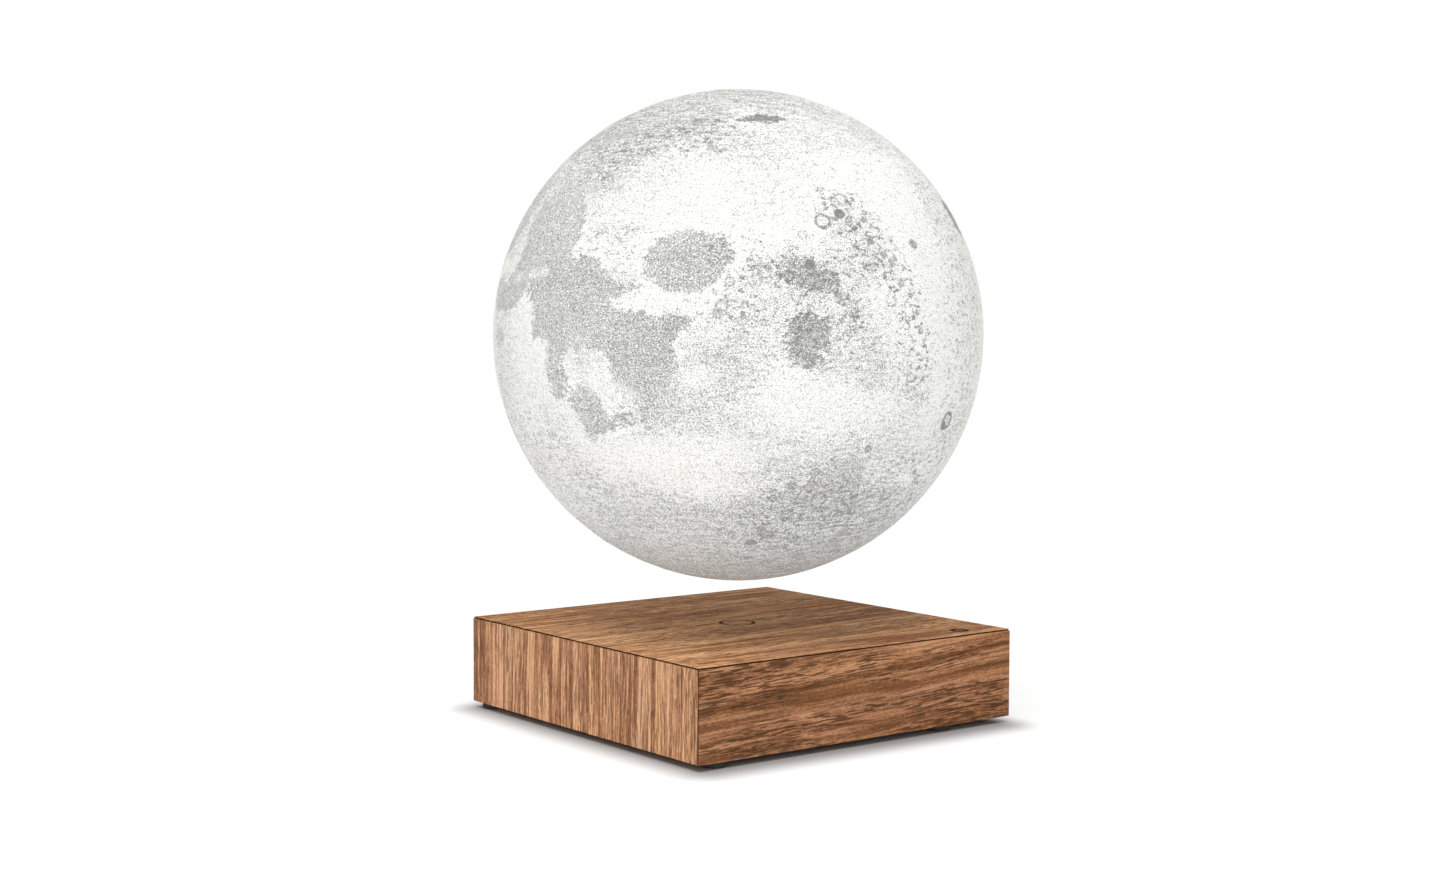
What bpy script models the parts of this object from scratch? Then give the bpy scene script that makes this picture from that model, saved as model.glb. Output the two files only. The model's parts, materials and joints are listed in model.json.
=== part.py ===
"""Levitating moon lamp: a printed moon that floats and turns above a mitred walnut base.

Metres, +Z up. The origin is on the floor under the middle of the base, and -Y is the front.
"""

from math import acos, cos, pi, radians, sin, sqrt

import bmesh
import bpy
from mathutils import Vector

# Clearances
SEAT_GAP = 0.0003
CUT_OVERRUN = 0.001
PART_SPACING = 0.0015
MERGE_DISTANCE = 0.00001

# Walnut case
CASE_SIDE = 0.125
CASE_HEIGHT = 0.0282
BOARD_THICKNESS = 0.005
ARRIS_WIDTH = 0.0002
BLOCK_SIDE = 0.014

# Engraved marks on the top
GROOVE_WIDTH = 0.0006
GROOVE_DEPTH = 0.0003
CENTRE_RING_DIAMETER = 0.0115
POWER_RING_DIAMETER = 0.005
POWER_BAR_LENGTH = 0.0026
POWER_MARK_RIGHT_INSET = 0.0154
POWER_MARK_FRONT_INSET = 0.0074

# Feet
FOOT_DIAMETER = 0.0084
FOOT_HEIGHT = 0.0017
FOOT_ROUNDING = 0.0005
FOOT_EDGE_INSET = 0.0053
FRONT_LEFT_FOOT_INSET = 0.0092
RIGHT_FEET_INSET = 0.0266

# Bottom cover and its screws
COVER_THICKNESS = 0.003
COVER_CORNER_RADIUS = 0.001
COVER_SCREW_DIAMETER = 0.003
COVER_SCREW_LENGTH = 0.009
COVER_SCREW_HEAD_DIAMETER = 0.0054
COVER_SCREW_HEAD_HEIGHT = 0.0016
COVER_SCREW_BLOCK_INSET = 0.0035

# Control board and its screws
PCB_THICKNESS = 0.0016
PCB_WALL_GAP = 0.0045
BOSS_DIAMETER = 0.0064
BOSS_SHARE = 5 / 14  # of the height that the socket leaves free
BOARD_SCREW_DIAMETER = 0.0022
BOARD_SCREW_LENGTH = 0.005
BOARD_SCREW_HEAD_DIAMETER = 0.0044
BOARD_SCREW_HEAD_HEIGHT = 0.0014
BOARD_SCREW_EDGE_INSET = 0.0045

# Magnets, coils and sensors of the base
RING_MAGNET_WIDTH = 0.0115
COIL_CORE_DIAMETER = 0.007
POWER_COIL_WIDTH = 0.013
POWER_COIL_THICKNESS = 0.0018
POWER_COIL_RIM_GAP = 0.006
HALL_WIDTH = 0.004
HALL_THICKNESS = 0.0016
HALL_HEIGHT = 0.005
CHIP_SIDE = 0.006
CHIP_HEIGHT = 0.0016
CAPACITOR_DIAMETER = 0.0075
CAPACITOR_HEIGHT = 0.011
LEAD_DIAMETER = 0.001

# Touch switch
ELECTRODE_DIAMETER = 0.007
ELECTRODE_THICKNESS = 0.0005

# Supply socket
JACK_WIDTH = 0.009
JACK_LENGTH = 0.0135
JACK_HEIGHT = 0.011
JACK_BORE_DIAMETER = 0.0063
JACK_BORE_DEPTH = 0.0105
JACK_PIN_DIAMETER = 0.002
JACK_PIN_RECESS = 0.001
JACK_OFFSET = 0.027
PLUG_HOLE_DIAMETER = 0.0105

# Moon
MOON_DIAMETER = 0.158
FLOAT_GAP = 0.0145
SHELL_WALL = 0.002
OPENING_DIAMETER = 0.052
COLLAR_WALL = 0.0025
CUP_WALL = 0.002
CUP_FLOOR = 0.0012
CUP_RIM_HEIGHT = 0.0025
MAGNET_THICKNESS = 0.008
RECEIVER_COIL_WIDTH = 0.0038
RECEIVER_COIL_THICKNESS = 0.0025
LED_COUNT = 6
LED_LENGTH = 0.0035
LED_WIDTH = 0.0028
LED_HEIGHT = 0.0019
LED_EDGE_INSET = 0.006

# Facets
FINE_SEGMENTS = 32
MAGNET_SEGMENTS = 48
MOON_SEGMENTS = 48
MOON_RINGS = 24
INNER_RINGS = 14
LEAD_STEPS = 4

# Levels, from the floor up
CASE_BOTTOM = FOOT_HEIGHT + SEAT_GAP
CASE_TOP = CASE_BOTTOM + CASE_HEIGHT
CAVITY_TOP = CASE_TOP - BOARD_THICKNESS
COVER_TOP = CASE_BOTTOM + COVER_THICKNESS
FREE_HEIGHT = CAVITY_TOP - COVER_TOP - PCB_THICKNESS - JACK_HEIGHT - 2 * SEAT_GAP
BOSS_HEIGHT = BOSS_SHARE * FREE_HEIGHT
PCB_BOTTOM = COVER_TOP + BOSS_HEIGHT + SEAT_GAP
PCB_TOP = PCB_BOTTOM + PCB_THICKNESS
ON_PCB = PCB_TOP + SEAT_GAP
UNDER_TOP = CAVITY_TOP - SEAT_GAP
POWER_COIL_BOTTOM = UNDER_TOP - POWER_COIL_THICKNESS
MAGNET_TOP = POWER_COIL_BOTTOM - PART_SPACING
ELECTRODE_BOTTOM = UNDER_TOP - ELECTRODE_THICKNESS
BLOCK_BOTTOM = COVER_TOP + SEAT_GAP
BLOCK_TOP = ELECTRODE_BOTTOM - PART_SPACING

# Plan of the base
CASE_HALF = CASE_SIDE / 2
CAVITY_HALF = CASE_HALF - BOARD_THICKNESS
COVER_HALF = CAVITY_HALF - SEAT_GAP
BLOCK_INNER = COVER_HALF - BLOCK_SIDE
COVER_SCREW_PLACE = BLOCK_INNER + COVER_SCREW_BLOCK_INSET
PCB_HALF = CAVITY_HALF - PCB_WALL_GAP
BOARD_SCREW_PLACE = PCB_HALF - BOARD_SCREW_EDGE_INSET
RING_MAGNET_OUTER = BOARD_SCREW_PLACE - BOARD_SCREW_HEAD_DIAMETER / 2 - PART_SPACING
RING_MAGNET_INNER = RING_MAGNET_OUTER - RING_MAGNET_WIDTH
COIL_ROOM = RING_MAGNET_INNER - SEAT_GAP
COIL_RADIUS = COIL_ROOM / (1 + sqrt(2)) - SEAT_GAP
COIL_PLACE = COIL_ROOM - COIL_RADIUS
POWER_COIL_OUTER = RING_MAGNET_OUTER - POWER_COIL_RIM_GAP
POWER_MARK = (CASE_HALF - POWER_MARK_RIGHT_INSET, POWER_MARK_FRONT_INSET - CASE_HALF)
CORNERS = ((-1, -1), (1, -1), (1, 1), (-1, 1))
SIDES = ((0, -1), (1, 0), (0, 1), (-1, 0))

# Moon, from its own centre
MOON_RADIUS = MOON_DIAMETER / 2
MOON_CENTRE = CASE_TOP + FLOAT_GAP + MOON_RADIUS
SHELL_INNER_RADIUS = MOON_RADIUS - SHELL_WALL
OPENING_RADIUS = OPENING_DIAMETER / 2
CUP_RADIUS = OPENING_RADIUS - SEAT_GAP
CUP_BORE = CUP_RADIUS - CUP_WALL
MAGNET_RADIUS = CUP_BORE - RECEIVER_COIL_WIDTH - 3 * SEAT_GAP
POCKET_RADIUS = MAGNET_RADIUS + SEAT_GAP


def depth_on_moon(radius):
    """How far below the centre the moon's surface is, this far from its axis."""
    return sqrt(MOON_RADIUS**2 - radius**2)


POCKET_FLOOR = CUP_FLOOR - depth_on_moon(POCKET_RADIUS)
COIL_LEDGE = CUP_FLOOR - depth_on_moon(CUP_BORE)
MAGNET_BOTTOM = POCKET_FLOOR + SEAT_GAP
LED_BOARD_BOTTOM = MAGNET_BOTTOM + MAGNET_THICKNESS + SEAT_GAP
LED_BOARD_TOP = LED_BOARD_BOTTOM + PCB_THICKNESS
CUP_TOP = LED_BOARD_TOP + CUP_RIM_HEIGHT


def corner_name(x, y):
    return ("front" if y < 0 else "back") + ("_left" if x < 0 else "_right")


def side_name(x, y):
    return {(1, 0): "right", (-1, 0): "left", (0, 1): "back", (0, -1): "front"}[x, y]


def clear_scene():
    for old in list(bpy.data.objects):
        bpy.data.objects.remove(old, do_unlink=True)


def new_collection(name):
    collection = bpy.data.collections.new(name)
    bpy.context.scene.collection.children.link(collection)
    return collection


def new_material(name, colour, roughness, metallic=0.0):
    material = bpy.data.materials.new(name)
    material.use_nodes = True
    shader = material.node_tree.nodes["Principled BSDF"]
    shader.inputs["Base Color"].default_value = (*colour, 1.0)
    shader.inputs["Roughness"].default_value = roughness
    shader.inputs["Metallic"].default_value = metallic
    return material


def new_parent(name, location, parent=None):
    """An empty that carries the pieces of one moving body."""
    empty = bpy.data.objects.new(name, None)
    empty.location = location
    empty.parent = parent
    LAMP.objects.link(empty)
    return empty


def new_piece(name, mesh, material, parent, location=(0, 0, 0), rotation=(0, 0, 0)):
    piece = bpy.data.objects.new(name, mesh)
    piece.location = location
    piece.rotation_euler = rotation
    piece.parent = parent
    mesh.materials.clear()
    mesh.materials.append(material)
    LAMP.objects.link(piece)
    return piece


def new_cutter(name, mesh, location=(0, 0, 0), rotation=(0, 0, 0)):
    cutter = bpy.data.objects.new(name, mesh)
    cutter.location = location
    cutter.rotation_euler = rotation
    cutter.hide_render = True
    cutter.display_type = "WIRE"
    CUTTERS.objects.link(cutter)
    return cutter


def combine(piece, tool, operation="DIFFERENCE"):
    modifier = piece.modifiers.new(tool.name, "BOOLEAN")
    modifier.operation = operation
    modifier.solver = "EXACT"
    modifier.object = tool


def soften(piece, width, segments=2):
    bevel = piece.modifiers.new("softened edges", "BEVEL")
    bevel.width = width
    bevel.segments = segments
    bevel.limit_method = "ANGLE"
    bevel.angle_limit = radians(30)
    bevel.use_clamp_overlap = True


def settle(piece):
    """The modifiers made permanent, with smooth shading between sharp edges."""
    bpy.context.view_layer.update()
    graph = bpy.context.evaluated_depsgraph_get()
    mesh = bpy.data.meshes.new_from_object(piece.evaluated_get(graph))
    mesh.name = piece.name
    piece.modifiers.clear()
    piece.data = mesh
    mesh.shade_smooth()
    mesh.set_sharp_from_angle(angle=radians(35))
    return piece


def box_mesh(name, length, width, height):
    """A box centred on its own origin."""
    mesh = bpy.data.meshes.new(name)
    bm = bmesh.new()
    bmesh.ops.create_cube(bm, size=1)
    bmesh.ops.scale(bm, vec=(length, width, height), verts=bm.verts)
    bm.to_mesh(mesh)
    bm.free()
    return mesh


def rod_mesh(name, radius, height, segments=FINE_SEGMENTS):
    """A round rod that stands on its own origin."""
    mesh = bpy.data.meshes.new(name)
    bm = bmesh.new()
    bmesh.ops.create_cone(
        bm, cap_ends=True, segments=segments, radius1=radius, radius2=radius, depth=height
    )
    bmesh.ops.translate(bm, vec=(0, 0, height / 2), verts=bm.verts)
    bm.to_mesh(mesh)
    bm.free()
    return mesh


def turned_mesh(name, profile, closed, segments=MAGNET_SEGMENTS):
    """A profile of radius and height, its outer side listed from the top down, turned about Z."""
    mesh = bpy.data.meshes.new(name)
    edges = [(i, i + 1) for i in range(len(profile) - 1)]
    if closed:
        edges.append((len(profile) - 1, 0))
    mesh.from_pydata([(radius, 0, height) for radius, height in profile], edges, [])
    guide = bpy.data.objects.new(name, mesh)
    bpy.context.scene.collection.objects.link(guide)
    screw = guide.modifiers.new("turned", "SCREW")
    screw.axis = "Z"
    screw.angle = 2 * pi
    screw.steps = segments
    screw.render_steps = segments
    screw.use_merge_vertices = True
    screw.merge_threshold = MERGE_DISTANCE
    bpy.context.view_layer.update()
    graph = bpy.context.evaluated_depsgraph_get()
    turned = bpy.data.meshes.new_from_object(guide.evaluated_get(graph))
    turned.name = name
    bpy.data.objects.remove(guide, do_unlink=True)
    return turned


def ring_mesh(name, outer, inner, height, segments=MAGNET_SEGMENTS):
    """A flat ring that stands on its own origin."""
    profile = [(outer, height), (outer, 0), (inner, 0), (inner, height)]
    return turned_mesh(name, profile, closed=True, segments=segments)


def screw_mesh(name, diameter, length, head_diameter, head_height):
    """A pan head with its seat at the origin, and a pointed shank below it."""
    shank = diameter / 2
    head = head_diameter / 2
    rounding = head_height / 2
    arc = [radians(angle) for angle in (90, 60, 30, 0)]
    crown = [
        (head - rounding + rounding * cos(angle), head_height - rounding + rounding * sin(angle))
        for angle in arc
    ]
    profile = [(0, head_height), *crown, (head, 0), (shank, 0), (shank, shank - length), (0, -length)]
    return turned_mesh(name, profile, closed=False, segments=FINE_SEGMENTS // 2)


def cross_recess(name, head_diameter, head_height):
    """Two crossed slots, as deep as half the head."""
    depth = head_height / 2
    slot = box_mesh(name, head_diameter / 2, head_diameter / 8, depth + CUT_OVERRUN)
    cross = new_cutter(name, slot)
    other = new_cutter(name + "_across", slot, rotation=(0, 0, pi / 2))
    combine(cross, other, "UNION")
    cross.location = (0, 0, head_height - depth + (depth + CUT_OVERRUN) / 2)
    other.location = cross.location
    return cross


def lead_mesh(name, corners):
    """A round lead along a smooth curve through its corners."""
    ends = [corners[0], *corners, corners[-1]]
    points = []
    for a, b, c, d in zip(ends, ends[1:], ends[2:], ends[3:]):
        for step in range(LEAD_STEPS):
            t = step / LEAD_STEPS
            points.append(
                0.5 * (2 * b + (c - a) * t + (2 * a - 5 * b + 4 * c - d) * t**2)
                + 0.5 * (3 * b - a - 3 * c + d) * t**3
            )
    points.append(corners[-1])
    curve = bpy.data.curves.new(name, "CURVE")
    curve.dimensions = "3D"
    curve.bevel_depth = LEAD_DIAMETER / 2
    curve.bevel_resolution = 2
    curve.use_fill_caps = True
    spline = curve.splines.new("POLY")
    spline.points.add(len(points) - 1)
    for target, point in zip(spline.points, points):
        target.co = (*point, 1)
    return curve


def mitred_board(name, length, width, set_back, mitred_bottom):
    """A board whose outer face is up, with edges that slope in at 45 degrees.

    set_back draws in the left, right and top edges, which leaves room in their joints.
    """
    mesh = box_mesh(name, length, width, BOARD_THICKNESS)
    left, right, top = set_back
    for vertex in mesh.vertices:
        inner = BOARD_THICKNESS if vertex.co.z < 0 else 0
        vertex.co.z -= BOARD_THICKNESS / 2
        vertex.co.x += left + inner if vertex.co.x < 0 else -right - inner
        if vertex.co.y > 0:
            vertex.co.y -= top + inner
        elif mitred_bottom:
            vertex.co.y += inner
    return mesh


def make_case():
    joint = SEAT_GAP * sqrt(2)
    top_mesh = mitred_board("top_panel", CASE_SIDE, CASE_SIDE, (0, 0, 0), mitred_bottom=True)
    top = new_piece("top_panel", top_mesh, WALNUT, BASE, (0, 0, CASE_TOP))
    soften(top, ARRIS_WIDTH)
    engrave_marks(top)
    settle(top)

    middle = CASE_BOTTOM + CASE_HEIGHT / 2
    sides = (
        ("front_panel", 0, (0, -CASE_HALF, middle), 0),
        ("right_panel", pi / 2, (CASE_HALF, 0, middle), joint),
        ("back_panel", pi, (0, CASE_HALF, middle), 0),
        ("left_panel", -pi / 2, (-CASE_HALF, 0, middle), joint),
    )
    for name, turn, place, ends in sides:
        mesh = mitred_board(name, CASE_SIDE, CASE_HEIGHT, (ends, ends, joint), mitred_bottom=False)
        panel = new_piece(name, mesh, WALNUT, BASE, place, (pi / 2, 0, turn))
        soften(panel, ARRIS_WIDTH)
        if name == "back_panel":
            cut_plug_hole(panel)
        settle(panel)


def engrave_marks(top):
    """The ring at the middle, and the power mark: a ring with a bar across it."""
    floor = CASE_TOP - GROOVE_DEPTH
    depth = GROOVE_DEPTH + CUT_OVERRUN
    for name, diameter, place in (
        ("centre_ring_cut", CENTRE_RING_DIAMETER, (0, 0)),
        ("power_ring_cut", POWER_RING_DIAMETER, POWER_MARK),
    ):
        outer = (diameter + GROOVE_WIDTH) / 2
        ring = ring_mesh(name, outer, outer - GROOVE_WIDTH, depth, FINE_SEGMENTS)
        combine(top, new_cutter(name, ring, (*place, floor)))
    bar = box_mesh("power_bar_cut", GROOVE_WIDTH, POWER_BAR_LENGTH, depth)
    combine(top, new_cutter("power_bar_cut", bar, (*POWER_MARK, floor + depth / 2)))


def cut_plug_hole(panel):
    hole = rod_mesh("plug_hole_cut", PLUG_HOLE_DIAMETER / 2, BOARD_THICKNESS + 2 * CUT_OVERRUN)
    place = (JACK_OFFSET, CAVITY_HALF - CUT_OVERRUN, ON_PCB + JACK_HEIGHT / 2)
    combine(panel, new_cutter("plug_hole_cut", hole, place, (-pi / 2, 0, 0)))


def make_corner_blocks():
    height = BLOCK_TOP - BLOCK_BOTTOM
    bore = COVER_SCREW_DIAMETER / 2 + SEAT_GAP
    middle = (COVER_HALF + BLOCK_INNER) / 2
    for x, y in CORNERS:
        name = "corner_block_" + corner_name(x, y)
        mesh = box_mesh(name, BLOCK_SIDE, BLOCK_SIDE, height)
        place = (x * middle, y * middle, BLOCK_BOTTOM + height / 2)
        block = new_piece(name, mesh, BLOCK_WOOD, BASE, place)
        hole = rod_mesh(name + "_cut", bore, CUT_OVERRUN + COVER_SCREW_LENGTH, FINE_SEGMENTS // 2)
        seat = (x * COVER_SCREW_PLACE, y * COVER_SCREW_PLACE, BLOCK_BOTTOM - CUT_OVERRUN)
        combine(block, new_cutter(name + "_cut", hole, seat))
        settle(block)


def make_bottom_cover():
    plate = box_mesh("bottom_cover", 2 * COVER_HALF, 2 * COVER_HALF, COVER_THICKNESS)
    bm = bmesh.new()
    bm.from_mesh(plate)
    uprights = [edge for edge in bm.edges if abs((edge.verts[0].co - edge.verts[1].co).z) > 0]
    bmesh.ops.bevel(bm, geom=uprights, offset=COVER_CORNER_RADIUS, segments=3, affect="EDGES")
    bm.to_mesh(plate)
    bm.free()
    cover = new_piece("bottom_cover", plate, COVER_PLASTIC, BASE)
    cover.location = (0, 0, CASE_BOTTOM + COVER_THICKNESS / 2)
    for x, y in SIDES:
        name = "boss_" + side_name(x, y)
        place = (x * BOARD_SCREW_PLACE, y * BOARD_SCREW_PLACE)
        boss = rod_mesh(name, BOSS_DIAMETER / 2, BOSS_HEIGHT + COVER_THICKNESS / 2)
        combine(cover, new_cutter(name, boss, (*place, COVER_TOP - COVER_THICKNESS / 2)), "UNION")
        bore_radius = BOARD_SCREW_DIAMETER / 2 + SEAT_GAP
        bore_depth = BOARD_SCREW_LENGTH - PCB_THICKNESS
        bore = rod_mesh(name + "_bore", bore_radius, bore_depth + CUT_OVERRUN, FINE_SEGMENTS // 2)
        floor = COVER_TOP + BOSS_HEIGHT - bore_depth
        combine(cover, new_cutter(name + "_bore", bore, (*place, floor)))
    for x, y in CORNERS:
        name = "cover_hole_" + corner_name(x, y)
        place = (x * COVER_SCREW_PLACE, y * COVER_SCREW_PLACE)
        hole_radius = COVER_SCREW_DIAMETER / 2 + SEAT_GAP
        hole = rod_mesh(name, hole_radius, COVER_THICKNESS + 2 * CUT_OVERRUN, FINE_SEGMENTS // 2)
        combine(cover, new_cutter(name, hole, (*place, CASE_BOTTOM - CUT_OVERRUN)))
        sink_radius = COVER_SCREW_HEAD_DIAMETER / 2 + SEAT_GAP
        sink = rod_mesh(name + "_sink", sink_radius, COVER_SCREW_HEAD_HEIGHT + CUT_OVERRUN)
        combine(cover, new_cutter(name + "_sink", sink, (*place, CASE_BOTTOM - CUT_OVERRUN)))
    settle(cover)


def make_screws():
    """Cover screws point up from below, and board screws point down."""
    seat = CASE_BOTTOM + COVER_SCREW_HEAD_HEIGHT - SEAT_GAP
    for x, y in CORNERS:
        name = "cover_screw_" + corner_name(x, y)
        mesh = screw_mesh(
            name, COVER_SCREW_DIAMETER, COVER_SCREW_LENGTH, COVER_SCREW_HEAD_DIAMETER, COVER_SCREW_HEAD_HEIGHT
        )
        screw = new_piece(name, mesh, STEEL, BASE)
        combine(screw, cross_recess(name + "_recess", COVER_SCREW_HEAD_DIAMETER, COVER_SCREW_HEAD_HEIGHT))
        settle(screw)
        screw.location = (x * COVER_SCREW_PLACE, y * COVER_SCREW_PLACE, seat)
        screw.rotation_euler = (pi, 0, 0)
    for x, y in SIDES:
        name = "board_screw_" + side_name(x, y)
        mesh = screw_mesh(
            name, BOARD_SCREW_DIAMETER, BOARD_SCREW_LENGTH, BOARD_SCREW_HEAD_DIAMETER, BOARD_SCREW_HEAD_HEIGHT
        )
        place = (x * BOARD_SCREW_PLACE, y * BOARD_SCREW_PLACE, ON_PCB)
        settle(new_piece(name, mesh, STEEL, BASE, place))


def make_feet():
    edge = CASE_HALF - FOOT_EDGE_INSET
    near_left = CASE_HALF - FRONT_LEFT_FOOT_INSET
    right = CASE_HALF - RIGHT_FEET_INSET
    places = (
        ("front_left", -near_left, -edge),
        ("front_right", right, -edge),
        ("back_right", right, edge),
        ("back_left", -edge, edge),
    )
    radius = FOOT_DIAMETER / 2
    arc = [radians(angle) for angle in (0, -30, -60, -90)]
    lower_edge = [
        (radius - FOOT_ROUNDING + FOOT_ROUNDING * cos(a), FOOT_ROUNDING + FOOT_ROUNDING * sin(a))
        for a in arc
    ]
    profile = [(0, FOOT_HEIGHT), (radius, FOOT_HEIGHT), *lower_edge, (0, 0)]
    for name, x, y in places:
        mesh = turned_mesh("foot_" + name, profile, closed=False, segments=FINE_SEGMENTS)
        settle(new_piece("foot_" + name, mesh, RUBBER, BASE, (x, y, 0)))


def make_control_board():
    mesh = box_mesh("control_board", 2 * PCB_HALF, 2 * PCB_HALF, PCB_THICKNESS)
    cut_off = 2 * PCB_HALF - 2 * (BLOCK_INNER - PART_SPACING)
    bm = bmesh.new()
    bm.from_mesh(mesh)
    uprights = [edge for edge in bm.edges if abs((edge.verts[0].co - edge.verts[1].co).z) > 0]
    bmesh.ops.bevel(bm, geom=uprights, offset=cut_off, segments=1, affect="EDGES")
    bm.to_mesh(mesh)
    bm.free()
    board = new_piece("control_board", mesh, BOARD_GREEN, BASE, (0, 0, PCB_BOTTOM + PCB_THICKNESS / 2))
    radius = BOARD_SCREW_DIAMETER / 2 + SEAT_GAP
    for x, y in SIDES:
        name = "board_hole_" + side_name(x, y)
        hole = rod_mesh(name, radius, PCB_THICKNESS + 2 * CUT_OVERRUN, FINE_SEGMENTS // 2)
        place = (x * BOARD_SCREW_PLACE, y * BOARD_SCREW_PLACE, PCB_BOTTOM - CUT_OVERRUN)
        combine(board, new_cutter(name, hole, place))
    settle(board)


def make_board_parts():
    """What is fixed on the control board: magnet, coils, sensors, chip and capacitor."""
    height = MAGNET_TOP - ON_PCB
    magnet = ring_mesh("ring_magnet", RING_MAGNET_OUTER, RING_MAGNET_INNER, height)
    settle(new_piece("ring_magnet", magnet, FERRITE, BASE, (0, 0, ON_PCB)))
    core_radius = COIL_CORE_DIAMETER / 2
    for x, y in SIDES:
        place = (x * COIL_PLACE, y * COIL_PLACE, ON_PCB)
        core_name = "coil_core_" + side_name(x, y)
        core = rod_mesh(core_name, core_radius, height, FINE_SEGMENTS // 2)
        settle(new_piece(core_name, core, STEEL, BASE, place))
        coil_name = "levitation_coil_" + side_name(x, y)
        coil = ring_mesh(coil_name, COIL_RADIUS, core_radius + SEAT_GAP, height, FINE_SEGMENTS)
        settle(new_piece(coil_name, coil, COPPER, BASE, place))
    for name, spot, turn in (("hall_sensor_x", 1, 0), ("hall_sensor_y", -1, pi / 2)):
        sensor = box_mesh(name, HALL_THICKNESS, HALL_WIDTH, HALL_HEIGHT)
        place = (spot * HALL_THICKNESS, spot * HALL_THICKNESS, ON_PCB + HALL_HEIGHT / 2)
        new_piece(name, sensor, CHIP_BLACK, BASE, place, (0, 0, turn))
    diagonal = sqrt(1 / 2)
    chip_reach = diagonal * (RING_MAGNET_OUTER + PART_SPACING) + CHIP_SIDE / 2
    chip = box_mesh("driver_chip", CHIP_SIDE, CHIP_SIDE, CHIP_HEIGHT)
    new_piece("driver_chip", chip, CHIP_BLACK, BASE, (-chip_reach, chip_reach, ON_PCB + CHIP_HEIGHT / 2))
    radius = CAPACITOR_DIAMETER / 2
    reach = diagonal * (RING_MAGNET_OUTER + PART_SPACING + radius)
    capacitor = rod_mesh("smoothing_capacitor", radius, CAPACITOR_HEIGHT)
    settle(new_piece("smoothing_capacitor", capacitor, ALUMINIUM, BASE, (reach, reach, ON_PCB)))


def make_power_coil():
    coil = ring_mesh(
        "power_coil", POWER_COIL_OUTER, POWER_COIL_OUTER - POWER_COIL_WIDTH, POWER_COIL_THICKNESS
    )
    settle(new_piece("power_coil", coil, COPPER, BASE, (0, 0, POWER_COIL_BOTTOM)))
    out = Vector((-sqrt(1 / 2), -sqrt(1 / 2), 0))
    middle = Vector((0, 0, POWER_COIL_BOTTOM + POWER_COIL_THICKNESS / 2))
    start = out * (POWER_COIL_OUTER + SEAT_GAP + LEAD_DIAMETER / 2)
    drop = out * (RING_MAGNET_OUTER + PART_SPACING + LEAD_DIAMETER / 2)
    corners = (
        start + middle,
        out * RING_MAGNET_OUTER + middle,
        drop + Vector((0, 0, MAGNET_TOP)),
        drop + Vector((0, 0, ON_PCB)),
    )
    new_piece("power_coil_lead", lead_mesh("power_coil_lead", corners), LEAD_RED, BASE)


def make_touch_switch():
    radius = ELECTRODE_DIAMETER / 2
    x = POWER_MARK[0]
    y = radius - COVER_HALF
    disc = rod_mesh("touch_electrode", radius, ELECTRODE_THICKNESS, FINE_SEGMENTS // 2)
    settle(new_piece("touch_electrode", disc, COPPER, BASE, (x, y, ELECTRODE_BOTTOM)))
    level = UNDER_TOP - LEAD_DIAMETER / 2
    reach = sqrt(1 / 2) * (RING_MAGNET_OUTER + PART_SPACING + LEAD_DIAMETER)
    start = Vector((x - radius - SEAT_GAP - LEAD_DIAMETER / 2, y, level))
    foot = Vector((reach, -reach, ON_PCB))
    bend = Vector((reach, -reach, level - LEAD_DIAMETER))
    corners = (start, start.lerp(bend, 1 / 2), bend, foot)
    new_piece("touch_lead", lead_mesh("touch_lead", corners), LEAD_RED, BASE)


def make_jack():
    """The socket stands on the board, with its mouth against the back panel."""
    height = ON_PCB + JACK_HEIGHT / 2
    mouth = CAVITY_HALF - SEAT_GAP
    mesh = box_mesh("dc_jack", JACK_WIDTH, JACK_LENGTH, JACK_HEIGHT)
    jack = new_piece("dc_jack", mesh, JACK_PLASTIC, BASE, (JACK_OFFSET, mouth - JACK_LENGTH / 2, height))
    floor = mouth - JACK_BORE_DEPTH
    bore = rod_mesh("jack_bore", JACK_BORE_DIAMETER / 2, JACK_BORE_DEPTH + CUT_OVERRUN)
    combine(jack, new_cutter("jack_bore", bore, (JACK_OFFSET, floor, height), (-pi / 2, 0, 0)))
    settle(jack)
    length = JACK_BORE_DEPTH - JACK_PIN_RECESS - SEAT_GAP
    pin = rod_mesh("dc_jack_pin", JACK_PIN_DIAMETER / 2, length, FINE_SEGMENTS // 2)
    place = (JACK_OFFSET, floor + SEAT_GAP, height)
    settle(new_piece("dc_jack_pin", pin, STEEL, BASE, place, (-pi / 2, 0, 0)))


def sphere_arc(radius, from_angle, to_angle, count):
    """Points on a circle about the moon's centre, angles counted down from the top pole."""
    points = []
    for i in range(count + 1):
        angle = from_angle + (to_angle - from_angle) * i / count
        points.append((radius * sin(angle), radius * cos(angle)))
    return points


def make_moon_shell():
    """A ball with a round opening at the bottom, and a collar inside it for the cup."""
    collar = OPENING_RADIUS + COLLAR_WALL
    mouth_angle = pi - acos(depth_on_moon(OPENING_RADIUS) / MOON_RADIUS)
    collar_depth = sqrt(SHELL_INNER_RADIUS**2 - collar**2)
    collar_angle = pi - acos(collar_depth / SHELL_INNER_RADIUS)
    upper = sphere_arc(MOON_RADIUS, 0, pi / 2, MOON_RINGS // 2)
    lower = sphere_arc(MOON_RADIUS, pi / 2, mouth_angle, MOON_RINGS // 2)
    inside = sphere_arc(SHELL_INNER_RADIUS, collar_angle, 0, INNER_RINGS)
    profile = [*upper[:-1], *lower, (OPENING_RADIUS, CUP_TOP), (collar, CUP_TOP), *inside]
    for end in (0, -1):
        profile[end] = (0, profile[end][1])
    mesh = turned_mesh("moon_shell", profile, closed=False, segments=MOON_SEGMENTS)
    settle(new_piece("moon_shell", mesh, MOON_PRINT, MOON))


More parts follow.
